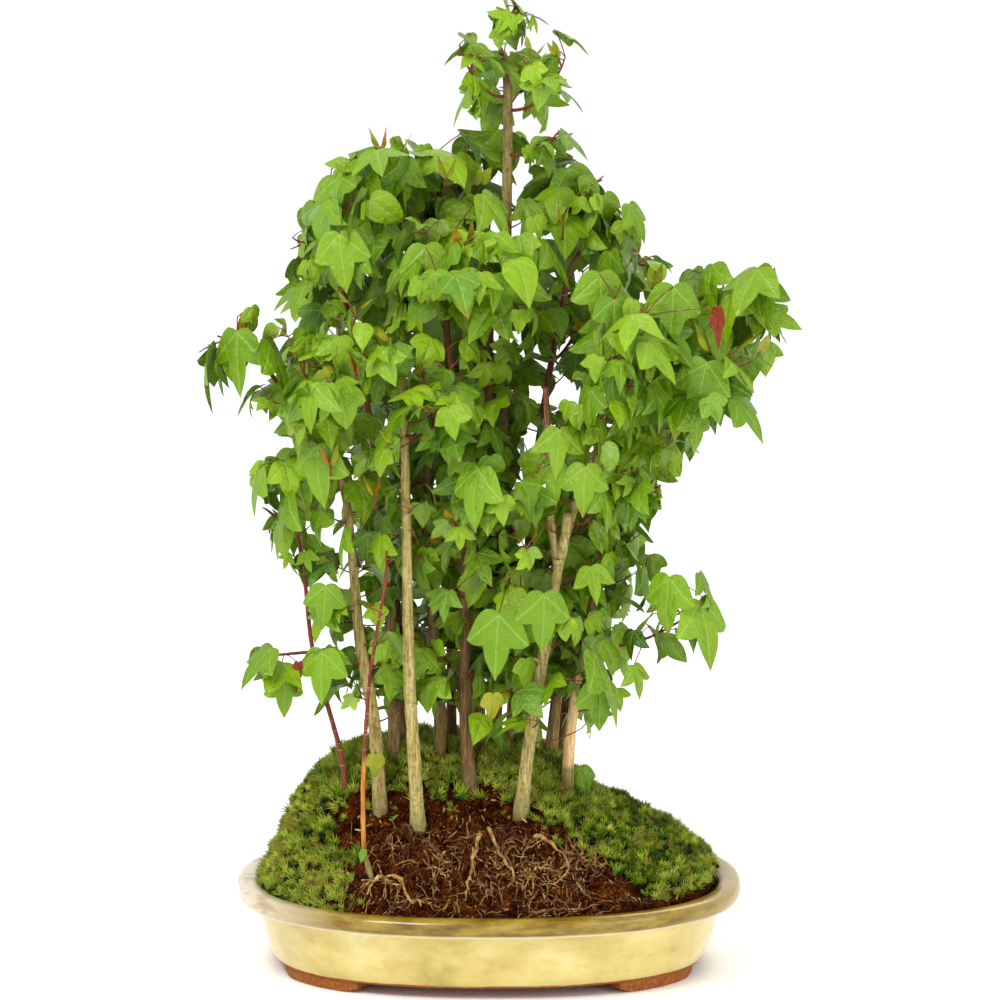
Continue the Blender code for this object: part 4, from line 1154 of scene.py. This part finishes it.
shoots = {  # tree, height where it leaves (None is the top), tip, side twigs, their reach, leaf length
    "shoot_crown_tip": ("tree_apex", None, (0.022, 0.000, 0.677), 5, 0.018, 0.024),
    "shoot_crown_left": ("tree_apex", 0.612, (-0.020, -0.015, 0.650), 4, 0.026, 0.027),
    "shoot_crown_right": ("tree_apex", 0.603, (0.055, -0.020, 0.648), 4, 0.026, 0.028),
    "shoot_crown_back": ("tree_apex", 0.590, (0.010, 0.050, 0.630), 4, 0.028, 0.027),
    "shoot_crown_low": ("tree_apex", 0.572, (0.048, -0.030, 0.592), 2, 0.026, 0.027),
    "shoot_neck_right": ("tree_apex", 0.530, (0.078, 0.030, 0.548), 6, 0.040, 0.037),
    "shoot_shoulder_top": ("tree_left_middle", None, (-0.078, -0.018, 0.580), 5, 0.034, 0.036),
    "shoot_shoulder_left": ("tree_left_middle", 0.525, (-0.112, -0.036, 0.552), 6, 0.040, 0.040),
    "shoot_shoulder_back": ("tree_left_middle", 0.500, (-0.030, 0.045, 0.556), 6, 0.042, 0.043),
    "shoot_shoulder_front": ("tree_left_middle", 0.470, (-0.018, -0.070, 0.518), 6, 0.042, 0.037),
    "shoot_left_upper": ("tree_left_upper", None, (-0.138, 0.000, 0.508), 4, 0.040, 0.038),
    "shoot_left_upper_back": ("tree_left_upper", 0.445, (-0.110, 0.085, 0.500), 4, 0.042, 0.038),
    "shoot_left_arm": ("tree_left_arm", None, (-0.186, -0.040, 0.452), 3, 0.030, 0.040),
    "shoot_left_arm_front": ("tree_left_arm", 0.386, (-0.126, -0.082, 0.452), 4, 0.038, 0.036),
    "shoot_left_whip": ("tree_left_whip", None, (-0.152, -0.038, 0.362), 3, 0.028, 0.032),
    "shoot_left_low": ("tree_left_whip", 0.229, (-0.162, -0.040, 0.226), 1, 0.018, 0.032),
    "shoot_left_back": ("tree_left_back", None, (-0.118, 0.108, 0.390), 6, 0.042, 0.036),
    "shoot_front_left": ("tree_front_left", 0.436, (-0.100, -0.090, 0.446), 5, 0.038, 0.032),
    "shoot_front_middle": ("tree_front_left", 0.385, (-0.026, -0.104, 0.420), 5, 0.038, 0.032),
    "shoot_middle_front": ("tree_middle_front", 0.345, (0.010, -0.085, 0.345), 5, 0.040, 0.032),
    "shoot_middle_top": ("tree_middle_back", None, (0.022, -0.050, 0.496), 6, 0.042, 0.037),
    "shoot_back_dark": ("tree_back_dark", None, (-0.032, 0.122, 0.430), 6, 0.040, 0.036),
    "shoot_right_upper": ("tree_right_upper", None, (0.092, 0.012, 0.520), 6, 0.042, 0.038),
    "shoot_right_upper_back": ("tree_right_upper", 0.420, (0.075, 0.105, 0.470), 6, 0.042, 0.038),
    "shoot_right_arm": ("tree_right_arm", None, (0.196, -0.018, 0.482), 7, 0.036, 0.046),
    "shoot_right_arm_front": ("tree_right_arm", 0.385, (0.160, -0.062, 0.432), 6, 0.040, 0.044),
    "shoot_front_right": ("tree_front_right", None, (0.104, -0.100, 0.452), 6, 0.042, 0.036),
    "shoot_right_torn": ("tree_right_torn", 0.338, (0.118, -0.062, 0.352), 4, 0.030, 0.030),
    "shoot_right_low": ("tree_right_torn", 0.226, (0.150, -0.048, 0.268), 1, 0.016, 0.030),
    "shoot_right_back": ("tree_right_back", None, (0.134, 0.104, 0.362), 5, 0.040, 0.036),
}
foliage = {
    "nodeGap": 0.0125,  # between leaf pairs on a twig
    "stem": 0.0013,
    "twig": 0.0008,
    "petiole": 0.00040,
    "apart": 0.34,  # least distance between leaves, as a share of a leaf
    "proud": 0.010,  # how far leaves may stand out of the solid planting's box, front and back
    "seed": 40,
    "sprigSeed": 500,
    "tries": 6,
    "topTries": 4,  # times as many above topFrom
    "topFrom": 0.60,
    "steep": 54,  # degrees below level
    "steepScatter": 19,
    "liftAtTop": 20,  # less steep in the crown, from liftFrom up over liftSpan
    "liftFrom": 0.50,
    "liftSpan": 0.15,
    "stalk": (0.35, 0.8),  # in leaf lengths
    "middleAt": 0.45,
    "tipAt": 0.96,
    "sizes": (0.72, 1.12),  # of leaves along a twig
    "tipSizes": (0.45, 0.75),
    "foldedSizes": (0.42, 0.7),
    "foldedShare": 0.3,
    "foldedTones": (0.25, 0.3, 0.35, 0.45, 0.7),
    "leafShare": 0.92,
    "twigTurn": 2.4,  # radians from one twig to the next
    "twigLeaf": 0.92,  # share of the leaf length on side twigs
    "bareStem": 0.35,  # share of a stem, twig or sprig that carries no leaves
    "bareTwig": 0.3,
    "bareSprig": 0.45,
    "stemPoints": 14,
    "twigPoints": 7,
    "sprigPoints": 6,
}
crownOutline = [  # height as seen from the front, left and right of the tray's middle
    (0.152, -0.075, 0.069), (0.171, -0.105, 0.084), (0.190, -0.157, 0.098), (0.206, -0.171, 0.106),
    (0.222, -0.173, 0.164), (0.232, -0.124, 0.166), (0.257, -0.127, 0.158), (0.278, -0.139, 0.138),
    (0.285, -0.157, 0.112), (0.331, -0.170, 0.120), (0.351, -0.167, 0.126), (0.360, -0.141, 0.148),
    (0.370, -0.141, 0.152), (0.386, -0.151, 0.168), (0.394, -0.199, 0.176), (0.434, -0.199, 0.205),
    (0.455, -0.181, 0.211), (0.471, -0.151, 0.202), (0.493, -0.141, 0.203), (0.499, -0.135, 0.116),
    (0.542, -0.124, 0.088), (0.558, -0.115, 0.075), (0.569, -0.098, 0.063), (0.576, -0.080, 0.059),
    (0.581, -0.036, 0.059), (0.598, -0.030, 0.044), (0.609, -0.022, 0.054), (0.623, -0.014, 0.054),
    (0.637, -0.021, 0.048), (0.648, -0.021, 0.054), (0.656, -0.011, 0.048), (0.665, -0.002, 0.040),
    (0.675, 0.012, 0.033),
]
clearings = [  # trunks seen bare: from and to this height as seen, half width, how often leaves stay away
    ("tree_front_left", 0.105, 0.385, 0.011, 1.0),
    ("tree_front_right", 0.105, 0.165, 0.014, 1.0),
    ("tree_front_right", 0.208, 0.228, 0.012, 1.0),
    ("tree_front_right", 0.262, 0.335, 0.014, 1.0),
    ("tree_apex", 0.516, 0.622, 0.011, 1.0),
    ("tree_left_arm", 0.105, 0.320, 0.009, 0.7),
    ("tree_right_torn", 0.120, 0.192, 0.010, 1.0),
    ("tree_middle_front", 0.130, 0.290, 0.008, 0.5),
]
leafPlaces, leafStarts, shownLeaves = [], [], []


def leafPoints(shape, length, base, level, steep, droop, cup, roll, twist):
    x, y, z = shape[:, 0], shape[:, 1], shape[:, 2]
    z = z - cup * x * x
    turn = twist * y
    x, z = x * np.cos(turn) - z * np.sin(turn), x * np.sin(turn) + z * np.cos(turn)
    bend = droop * y
    small = np.where(np.abs(bend) < 1e-4, 1e-4, bend)
    along = y * np.sin(small) / small + np.sin(bend) * z
    lift = -y * (1 - np.cos(small)) / small + np.cos(bend) * z
    midrib = (level * math.cos(steep) - up * math.sin(steep)).normalized()
    side = level.cross(up).normalized()
    normal = side.cross(midrib)
    turned = Matrix.Rotation(roll, 3, midrib)
    side, normal = turned @ side, turned @ normal
    return (np.array(base) + length * (x[:, None] * np.array(side) + along[:, None] * np.array(midrib)
                                       + lift[:, None] * np.array(normal)))


def crowded(place, gap):
    for other in leafPlaces:
        if (other - place).length_squared < gap * gap:
            return True
    return False


outlineHeights, outlineLefts, outlineRights = (list(column) for column in zip(*crownOutline))


def outsideCrown(place):
    x, height = seenFromFront(place)
    left = np.interp(height, outlineHeights, outlineLefts)
    right = np.interp(height, outlineHeights, outlineRights)
    inDepth = cadBox[0].y - foliage["proud"] < place.y < cadBox[1].y + foliage["proud"]
    inHeight = outlineHeights[0] < height < outlineHeights[-1]
    return not (inDepth and inHeight and left - 0.001 < x < right + 0.001)


def hidesTrunk(place, chooser):
    x, height = seenFromFront(place)
    for tree, low, high, half, often in clearings:
        if low < height < high and chooser.random() < often:
            point = min(seenRoutes[tree], key=lambda p: abs(p[1] - height))
            if abs(point[0] - x) < half and place.y < point[2] + 0.004:
                return True
    return False


def hidesLeaf(place):
    x, height = seenFromFront(place)
    return any(place.y < y and math.hypot(x - leafX, height - leafHeight) < reach
               for leafX, leafHeight, y, reach in shownLeaves)


def addLeaf(parts, blades, start, outward, length, chooser, young=0.0, tint=None, tries=foliage["tries"]):
    for _ in range(tries * (foliage["topTries"] if start.z > foliage["topFrom"] else 1)):
        away = Vector((start.x - trayMiddle.x, (start.y - trayMiddle.y) * 1.3, 0))
        away = away / 0.10 if away.length < 0.10 else away.normalized()
        wild = Vector((chooser.gauss(0, 0.6), chooser.gauss(0, 0.6), 0))
        level = Vector((outward.x, outward.y, 0)) * 0.75 + away * 0.7 + wild
        level = level.normalized() if level.length > 0.05 else Vector((0, -1, 0))
        high = clamp((start.z - foliage["liftFrom"]) / foliage["liftSpan"])
        steep = foliage["steep"] - foliage["liftAtTop"] * high
        steep = math.radians(chooser.gauss(steep, foliage["steepScatter"]))
        stalk = length * chooser.uniform(*foliage["stalk"])
        joint = start + (outward * 0.6 + level * 0.55).normalized() * stalk * 0.8
        joint += up * stalk * chooser.uniform(0.1, 0.5)
        if young > 0.2:
            steep = -0.8
        midrib = level * math.cos(steep) - up * math.sin(steep)
        middle = joint + midrib * length * foliage["middleAt"]
        sideways = level.cross(up) * length * 0.5
        ends = (joint, middle + sideways, middle - sideways, joint + midrib * length * foliage["tipAt"])
        if not (any(outsideCrown(end) for end in ends) or crowded(middle, length * foliage["apart"])
                or any(hidesTrunk(spot, chooser) or hidesLeaf(spot) for spot in (middle, *ends[1:]))):
            break
    else:
        return False
    leafPlaces.append(middle)
    leafStarts.append(start)
    template, shape = blades["young" if young > 0.2 else chooser.choice(leafMix)]
    if young > 0.2:
        points = leafPoints(shape * (0.75, 1, 1), length * 0.8, joint, level, -chooser.uniform(0.5, 1.1),
                            chooser.uniform(-0.2, 0.7), chooser.uniform(0.8, 1.8), chooser.gauss(0, 0.3), 0.0)
    else:
        points = leafPoints(shape, length, joint, level, steep, chooser.uniform(0.2, 1.5),
                            chooser.uniform(-0.2, 0.8), math.radians(chooser.gauss(0, 27)),
                            chooser.gauss(0, 0.6))
    # painted light: leaves higher in the crown, and most of all at its top, get a lighter green, as if lit more
    # from above
    paintedLightTone = 0.61 + (start.z - 0.40) * 0.15 + max(0, start.z - 0.58) * 1.4
    shade = tint if tint is not None else clamp(chooser.gauss(paintedLightTone, 0.22))
    addCopy(parts, template, points, tint=shade, young=young, cool=max(0.0, chooser.gauss(-0.15, 0.35)),
            dry=1.0 if chooser.random() < 0.3 else 0.0)
    bend = start.lerp(joint, 0.5) + up * stalk * 0.12
    radii = [foliage["petiole"] * swell for swell in (1.25, 1, 1, 1.1)]
    layTube(parts, bow(start, bend, joint, 4), radii, 4, 1, age=0.0, pale=0.3, tint=0.0,
            young=0.35 if chooser.random() < 0.4 else 0.0)
    return True


def sidewaysOf(heading):
    across = heading.cross(up)
    return across.normalized() if across.length > 0.3 else Vector((1, 0, 0))


def sprout(parts, blades, route, thick, leaf, chooser, firstShare, tipLeaves=True):
    while len(route) > 3 and outsideCrown(route[-1]):
        route = route[:-1]
    length = sum((b - a).length for a, b in zip(route, route[1:]))
    count = len(route)
    radii = [thick * (1 - 0.45 * i / (count - 1)) for i in range(count)]
    layTube(parts, route, radii, 6, 1, age=0.0, pale=0.3)
    pairs = max(1, round(length * (1 - firstShare) / foliage["nodeGap"]))
    for k in range(pairs):
        share = firstShare + (1 - firstShare) * (k + 0.5) / pairs
        place = min(count - 2, int(share * (count - 1)))
        start = route[place].lerp(route[place + 1], share * (count - 1) - place)
        heading = (route[place + 1] - route[place]).normalized()
        turn = chooser.uniform(-0.7, 0.7) + (math.pi / 2 if k % 2 and abs(heading.z) > 0.6 else 0)
        across = Matrix.Rotation(turn, 3, heading) @ sidewaysOf(heading)
        for outward in (across, -across):
            if chooser.random() < foliage["leafShare"]:
                addLeaf(parts, blades, start, outward, leaf * chooser.uniform(*foliage["sizes"]), chooser)
    if tipLeaves:
        heading = (route[-1] - route[-2]).normalized()
        across = sidewaysOf(heading)
        for outward in (across, -across):
            addLeaf(parts, blades, route[-1], (outward + heading).normalized(),
                    leaf * chooser.uniform(*foliage["tipSizes"]), chooser, tint=chooser.uniform(0.6, 1.0))
        if chooser.random() < foliage["foldedShare"]:  # this year's folded pair
            glow = chooser.choice(foliage["foldedTones"])
            for outward in (across, -across):
                addLeaf(parts, blades, route[-1], (outward * 0.3 + up).normalized(),
                        leaf * chooser.uniform(*foliage["foldedSizes"]), chooser, young=glow, tries=1)


def shootStart(tree, height, tip):
    if height is None:
        route = trunkRoute(tree)
        return route[-1], (route[-1] - route[-2]).normalized()
    place, _ = trunkAt(tree, height)
    return place, Vector((tip.x - place.x, tip.y - place.y, 0)).normalized()


def buildShoot(name, blades, paints, chooser):
    tree, height, tipPoint, twigs, reach, leaf = shoots[name]
    tip = inFrame(tipPoint)
    start, heading = shootStart(tree, height, tip)
    bend = start + heading * ((tip - start).length * 0.45)
    route = bow(start, bend, tip, foliage["stemPoints"])
    last = foliage["stemPoints"] - 1
    parts = []
    sprout(parts, blades, route, foliage["stem"], leaf, chooser, foliage["bareStem"])
    for k in range(twigs):
        share = 0.30 + 0.68 * (k + 0.5) / twigs
        place = int(share * last)
        heading = (route[min(last, place + 1)] - route[place]).normalized()
        turn = k * foliage["twigTurn"] + chooser.uniform(-0.5, 0.5)
        side = heading.orthogonal().normalized()
        outward = side * math.cos(turn) + heading.cross(side) * math.sin(turn)
        outward = (outward + heading * 0.6 + up * 0.15).normalized()
        length = reach * chooser.uniform(0.6, 1.15)
        end = route[place] + outward * length
        twigBend = route[place] + (outward * 0.5 + heading * 0.2) * length
        twig = bow(route[place], twigBend, end, foliage["twigPoints"])
        sprout(parts, blades, twig, foliage["twig"], leaf * foliage["twigLeaf"], chooser, foliage["bareTwig"])
    return finishPiece(name + "_leaves", parts, paints, [name])


sprigs = {  # leafy twigs straight from the trunks: from and to this height, number, reach, leaf length
    "tree_front_left": (0.28, 0.44, 8, 0.022, 0.024),
    "tree_front_right": (0.16, 0.43, 30, 0.036, 0.028),
    "tree_apex": (0.19, 0.52, 24, 0.036, 0.028),
    "tree_middle_front": (0.175, 0.50, 28, 0.034, 0.027),
    "tree_middle_back": (0.18, 0.44, 22, 0.036, 0.026),
    "tree_thin": (0.19, 0.32, 9, 0.026, 0.023),
    "tree_left_middle": (0.175, 0.53, 26, 0.034, 0.027),
    "tree_back_dark": (0.19, 0.36, 12, 0.034, 0.028),
    "tree_left_upper": (0.18, 0.48, 22, 0.036, 0.027),
    "tree_left_back": (0.19, 0.35, 12, 0.036, 0.028),
    "tree_left_arm": (0.17, 0.41, 20, 0.032, 0.028),
    "tree_left_whip": (0.26, 0.33, 5, 0.022, 0.026),
    "tree_sapling": (0.165, 0.305, 6, 0.012, 0.018),
    "tree_right_torn": (0.18, 0.36, 18, 0.036, 0.037),
    "tree_right_arm": (0.17, 0.42, 22, 0.036, 0.029),
    "tree_right_back": (0.18, 0.33, 12, 0.036, 0.030),
    "tree_right_upper": (0.18, 0.47, 22, 0.036, 0.029),
}


def buildSprigs(name, blades, paints, chooser):
    low, high, count, reach, leaf = sprigs[name]
    parts = []
    for k in range(count):
        height = low + (high - low) * (k + chooser.random()) / count
        place, _ = trunkAt(name, height)
        turn = k * foliage["twigTurn"] + chooser.uniform(-0.6, 0.6)
        outward = towards(turn, chooser.uniform(0.1, 0.7)).normalized()
        length = reach * chooser.uniform(0.4, 1.2)
        end = place + outward * length
        bend = place + outward * length * 0.5 - up * length * 0.15
        sprout(parts, blades, bow(place, bend, end, foliage["sprigPoints"]), foliage["twig"] * 0.85, leaf,
               chooser,
               foliage["bareSprig"], chooser.random() < 0.6)
    return finishPiece(name + "_sprigs", parts, paints)


newGrowth = [  # folded pairs that stand up from the shoots: x, height as seen, y, length, how red
    (-0.167, 0.444, -0.040, 0.024, 0.55), (-0.074, 0.574, -0.030, 0.022, 0.55),
    (-0.029, 0.554, -0.040, 0.022, 0.50), (0.112, 0.477, -0.040, 0.024, 0.45),
    (-0.090, 0.418, -0.100, 0.022, 0.65), (-0.108, 0.353, -0.090, 0.022, 0.60),
    (-0.078, 0.333, -0.095, 0.020, 0.80), (-0.060, 0.572, -0.030, 0.018, 0.45),
    (0.051, 0.523, -0.030, 0.018, 0.60),
]
oddLeaves = [  # x, height as seen, y, length, heading, steepness, colour (0 green, 0.3 yellow, 1 red)
    (-0.191, 0.436, -0.052, 0.046, 180, 78, 0.0), (-0.172, 0.446, -0.064, 0.044, -95, 80, 0.0),
    (-0.150, 0.439, -0.070, 0.044, -30, 58, 0.0), (-0.138, 0.333, -0.058, 0.046, 215, 68, 0.0),
    (-0.157, 0.350, -0.050, 0.034, 200, 70, 0.0), (-0.117, 0.366, -0.080, 0.044, -110, 80, 0.0),
    (-0.150, 0.224, -0.056, 0.034, 205, 38, 0.0), (-0.141, 0.204, -0.050, 0.028, -80, 75, 0.0),
    (-0.114, 0.222, -0.056, 0.036, -110, 75, 0.0), (0.124, 0.274, -0.062, 0.040, -125, 74, 0.0),
    (0.145, 0.257, -0.056, 0.047, -45, 66, 0.0), (0.145, 0.277, -0.050, 0.025, -20, 60, 0.0),
    (0.072, 0.221, -0.062, 0.053, -25, 57, 0.0), (0.076, 0.199, -0.060, 0.034, -80, 78, 0.0),
    (0.100, 0.212, -0.050, 0.024, -40, 62, 0.0), (0.190, 0.460, -0.040, 0.027, -5, 22, 0.0),
    (0.169, 0.401, -0.070, 0.037, -15, 48, 0.0), (0.126, 0.477, -0.076, 0.042, -90, 75, 0.0),
    (0.149, 0.424, -0.082, 0.042, 235, 66, 0.0), (0.046, 0.657, -0.010, 0.028, -5, 18, 0.0),
    (0.046, 0.618, -0.014, 0.026, -5, 25, 0.0), (0.050, 0.587, -0.020, 0.027, -10, 38, 0.0),
    (-0.015, 0.648, -0.012, 0.021, 185, 37, 0.0), (-0.013, 0.618, -0.016, 0.030, 200, 60, 0.0),
    (0.017, 0.6785, -0.004, 0.024, -10, 43, 0.0), (-0.007, 0.350, -0.098, 0.043, -130, 70, 0.0),
    (0.007, 0.248, -0.080, 0.044, -110, 75, 0.0), (0.038, 0.262, -0.080, 0.040, -85, 80, 0.0),
    (-0.004, 0.542, -0.040, 0.040, -20, 45, 0.0), (-0.102, 0.514, -0.066, 0.040, -70, 75, 0.0),
    (-0.043, 0.505, -0.078, 0.038, -75, 72, 0.0), (0.076, 0.486, -0.060, 0.040, -80, 75, 0.0),
    (0.097, 0.536, 0.000, 0.028, -30, 55, 0.0), (-0.086, 0.545, -0.060, 0.038, 200, 60, 0.0),
    (0.066, 0.352, -0.075, 0.034, -100, 75, 0.0), (0.076, 0.385, -0.078, 0.034, -60, 70, 0.0),
    (0.070, 0.406, -0.080, 0.032, -120, 75, 0.0), (0.048, 0.378, -0.075, 0.034, -100, 78, 0.0),
    (0.044, 0.354, -0.072, 0.030, -80, 78, 0.0), (0.079, 0.336, -0.070, 0.030, -50, 70, 0.0),
    (-0.124, 0.482, -0.030, 0.031, 190, 28, 0.0), (-0.112, 0.268, -0.060, 0.030, -100, 70, 0.0),
    (-0.098, 0.309, -0.062, 0.032, 215, 66, 0.0), (0.142, 0.392, -0.072, 0.030, -70, 74, 0.0),
    (0.156, 0.462, -0.086, 0.028, -80, 84, 1.0), (-0.131, 0.214, -0.052, 0.022, -110, 80, 1.0),
    (-0.078, 0.149, -0.050, 0.017, -95, 86, 0.30), (0.003, 0.192, -0.062, 0.020, -85, 80, 0.32),
    (-0.064, 0.109, -0.034, 0.018, 200, 20, 0.0), (0.063, 0.139, 0.004, 0.022, -60, 65, 0.0),
    (-0.086, 0.083, -0.080, 0.010, 250, 40, 0.0), (-0.102, 0.067, -0.086, 0.008, 20, 20, 0.7),
]


odd = {
    "seed": 91,
    "clearFrom": 0.023,  # other leaves stay off leaves longer than this
    "clearReach": 0.34,  # in leaf lengths
    "stalkFrom": 0.18,  # above this height a stalk starts at a twig
    "tiny": 0.015,
    "short": 0.024,
    "tipFoot": (0, 0.018, -0.015),  # from a folded pair down to its twig's foot
}


def seenPlace(x, height, y):
    return inFrame((x, y, height - y * math.tan(math.radians(view["elevation"]))))


def oddLeafLies(x, height, y, length, heading, steepness):
    joint = seenPlace(x, height, y)
    turn, steep = math.radians(heading), math.radians(steepness)
    level = towards(turn)
    midrib = level * math.cos(steep) - up * math.sin(steep)
    return joint, level, joint + midrib * length * foliage["middleAt"]


def keepOddLeavesClear():
    for *lies, _ in oddLeaves:
        middle = oddLeafLies(*lies)[2]
        leafPlaces.append(middle)
        if lies[3] > odd["clearFrom"]:
            shownLeaves.append((*seenFromFront(middle), middle.y, lies[3] * odd["clearReach"]))


def buildStrays(blades, paints):
    chooser = random.Random(odd["seed"])
    parts = []
    template, shape = blades["young"]
    for x, height, y, length, red in newGrowth:
        tip = seenPlace(x, height, y)
        foot = tip + Vector(odd["tipFoot"])
        layTube(parts, bow(foot, tip - up * 0.009, tip, 7), [foliage["twig"]] * 7, 6, 1, age=0.0, pale=0.3)
        for side in (-1, 1):
            level = Vector((side, chooser.uniform(-0.8, 0.2), 0)).normalized()
            points = leafPoints(shape * (0.85, 1, 1), length * chooser.uniform(0.65, 0.9), tip, level,
                                -chooser.uniform(1.15, 1.42), chooser.uniform(-0.2, 0.5),
                                chooser.uniform(1.0, 1.7), 0.0, 0.0)
            addCopy(parts, template, points, young=red * chooser.uniform(0.5, 1.0), tint=0.6)
    for x, height, y, length, heading, steepness, colour in oddLeaves:
        joint, level, _ = oddLeafLies(x, height, y, length, heading, steepness)
        kind = chooser.choice(("broad", "narrow", "broad"))
        if length < odd["short"] or colour > 0:
            kind = "young" if length < odd["tiny"] else "short"
        template, shape = blades[kind]
        curled = colour > 0.9
        points = leafPoints(shape * (0.4 if curled else 0.88, 1.05, 1), length, joint, level,
                            math.radians(steepness), chooser.uniform(0.2, 0.7), 1.7 if curled else 0.5,
                            chooser.gauss(0, 0.35), 0.8 * colour)
        addCopy(parts, template, points, young=colour, tint=chooser.uniform(0.42, 0.75),
                cool=0.4 if length < odd["tiny"] else 0.1, dry=1.0 if chooser.random() < 0.4 else 0.0)
        foot = joint - level * length * 0.5 - up * length * 0.1
        if height > odd["stalkFrom"]:
            foot = min(leafStarts, key=lambda start: (start - joint).length)
        stalk = bow(foot, (foot + joint) / 2 + up * length * 0.1, joint, 4)
        layTube(parts, stalk, [foliage["petiole"]] * 4, 4, 1, age=0.0, pale=0.3)
    finishPiece("odd_leaves", parts, paints)


surfaceRoots = {  # seen from above, radius at the start
    "root_sapling": (((-0.078, -0.080), (-0.070, -0.079), (-0.062, -0.083), (-0.054, -0.096),
                      (-0.045, -0.106)), 0.0015),
    "root_middle": (((-0.006, -0.052), (-0.012, -0.076), (-0.016, -0.104)), 0.0014),
    "root_centre": (((0.000, -0.050), (0.011, -0.069), (0.023, -0.094)), 0.0013),
    "root_right": (((0.032, -0.051), (0.046, -0.060), (0.055, -0.072), (0.049, -0.086)), 0.0014),
    "root_front": (((0.030, -0.109), (0.053, -0.103), (0.077, -0.098)), 0.0011),
}


rootlets = {
    "seed": 77,
    "number": 6,
    "more": 20,  # on the sapling's root, the rest of them near its start
    "points": 6,
    "lift": 0.0008,
    "scatter": 0.0008,
    "step": 0.003,
    "shortStep": 0.0022,
}


def jitter(chooser):
    return Vector((chooser.uniform(-1, 1), chooser.uniform(-1, 1), 0))


def buildRoots(ground, paint):
    chooser = random.Random(rootlets["seed"])
    for name, (points, thick) in surfaceRoots.items():
        parts = []
        route = []
        for point in curveThrough([(x, y, 0) for x, y in points], 0.003):
            spot = inFrame(point) + jitter(chooser) * 0.0006
            place, normal = onSurface(ground, spot.x, spot.y)
            route.append(place + normal * (thick * 0.9 + 0.0005))
        count = len(route)
        radii = [thick * (1.1 - 0.65 * i / count) * chooser.uniform(0.85, 1.15) for i in range(count)]
        layTube(parts, route, radii, 8, young=0.6 if name == "root_front" else 0.0)
        for number in range(rootlets["more"] if name == "root_sapling" else rootlets["number"]):
            near = number > rootlets["number"]
            i = chooser.randrange(0, count // 3) if near else chooser.randrange(2, count - 1)
            side = Vector((chooser.uniform(-1, 1), chooser.uniform(-1, 0.2), 0)).normalized()
            step = rootlets["shortStep"] if near else rootlets["step"]
            twig = []
            for k in range(rootlets["points"]):
                spot = route[i] + side * step * k + jitter(chooser) * rootlets["scatter"]
                place, normal = onSurface(ground, spot.x, spot.y)
                if place is None or place.z < mound["floor"]:
                    break
                twig.append(place + normal * rootlets["lift"])
            if len(twig) > 2:
                twig[0] = route[i]
                layTube(parts, twig, [radii[i] * 0.55 * (1 - 0.13 * k) for k in range(len(twig))], 5)
        finishPiece(name + "_skin", parts, [paint], [name])


def buildScreens():
    paint, shader = newPaint("screenPlastic")
    grain = speckle(900, 2)
    setSockets(shader, {"Base Color": ramp(grain, [(0.3, rgb(26, 26, 26)), (0.7, rgb(52, 52, 50))]),
                        "Roughness": spread(grain, 0.3, 0.7, 0.45, 0.65)})
    for node in ("drain_screen_left", "drain_screen_right"):
        screen = cadCopy(node + "_mesh", node)
        screen.data.materials.append(paint)
        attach(screen, "root")
        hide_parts(node)


setUpStudio()
soilPaint, mossPaint = paintSoil(), paintMoss()
barkPaint, rootPaint, leafSurface = paintBark(), paintRoots(), paintLeaves()
buildTray(paintTray())
print("tray made")
groundTree = buildMound(soilPaint, rootPaint)
buildMoss(groundTree, mossPaint)
buildRoots(groundTree, rootPaint)
buildScreens()
blades = {}
for shapeName, outline in leafShapes.items():
    template = leafTemplate(shapeName, outline)
    blades[shapeName] = (template, corners(template))
for index, treeName in enumerate(trees):
    buildTree(treeName, barkPaint, random.Random(bark["seed"] + index))
print("trees grown")
seenRoutes = {name: [(*seenFromFront(point), point.y) for point in trunkRoute(name)] for name in trees}
keepOddLeavesClear()
for index, shootName in enumerate(shoots):
    buildShoot(shootName, blades, [leafSurface, barkPaint], random.Random(foliage["seed"] + index))
for index, treeName in enumerate(sprigs):
    buildSprigs(treeName, blades, [leafSurface, barkPaint], random.Random(foliage["sprigSeed"] + index))
buildStrays(blades, [leafSurface, barkPaint])
print("leaves:", len(leafPlaces))
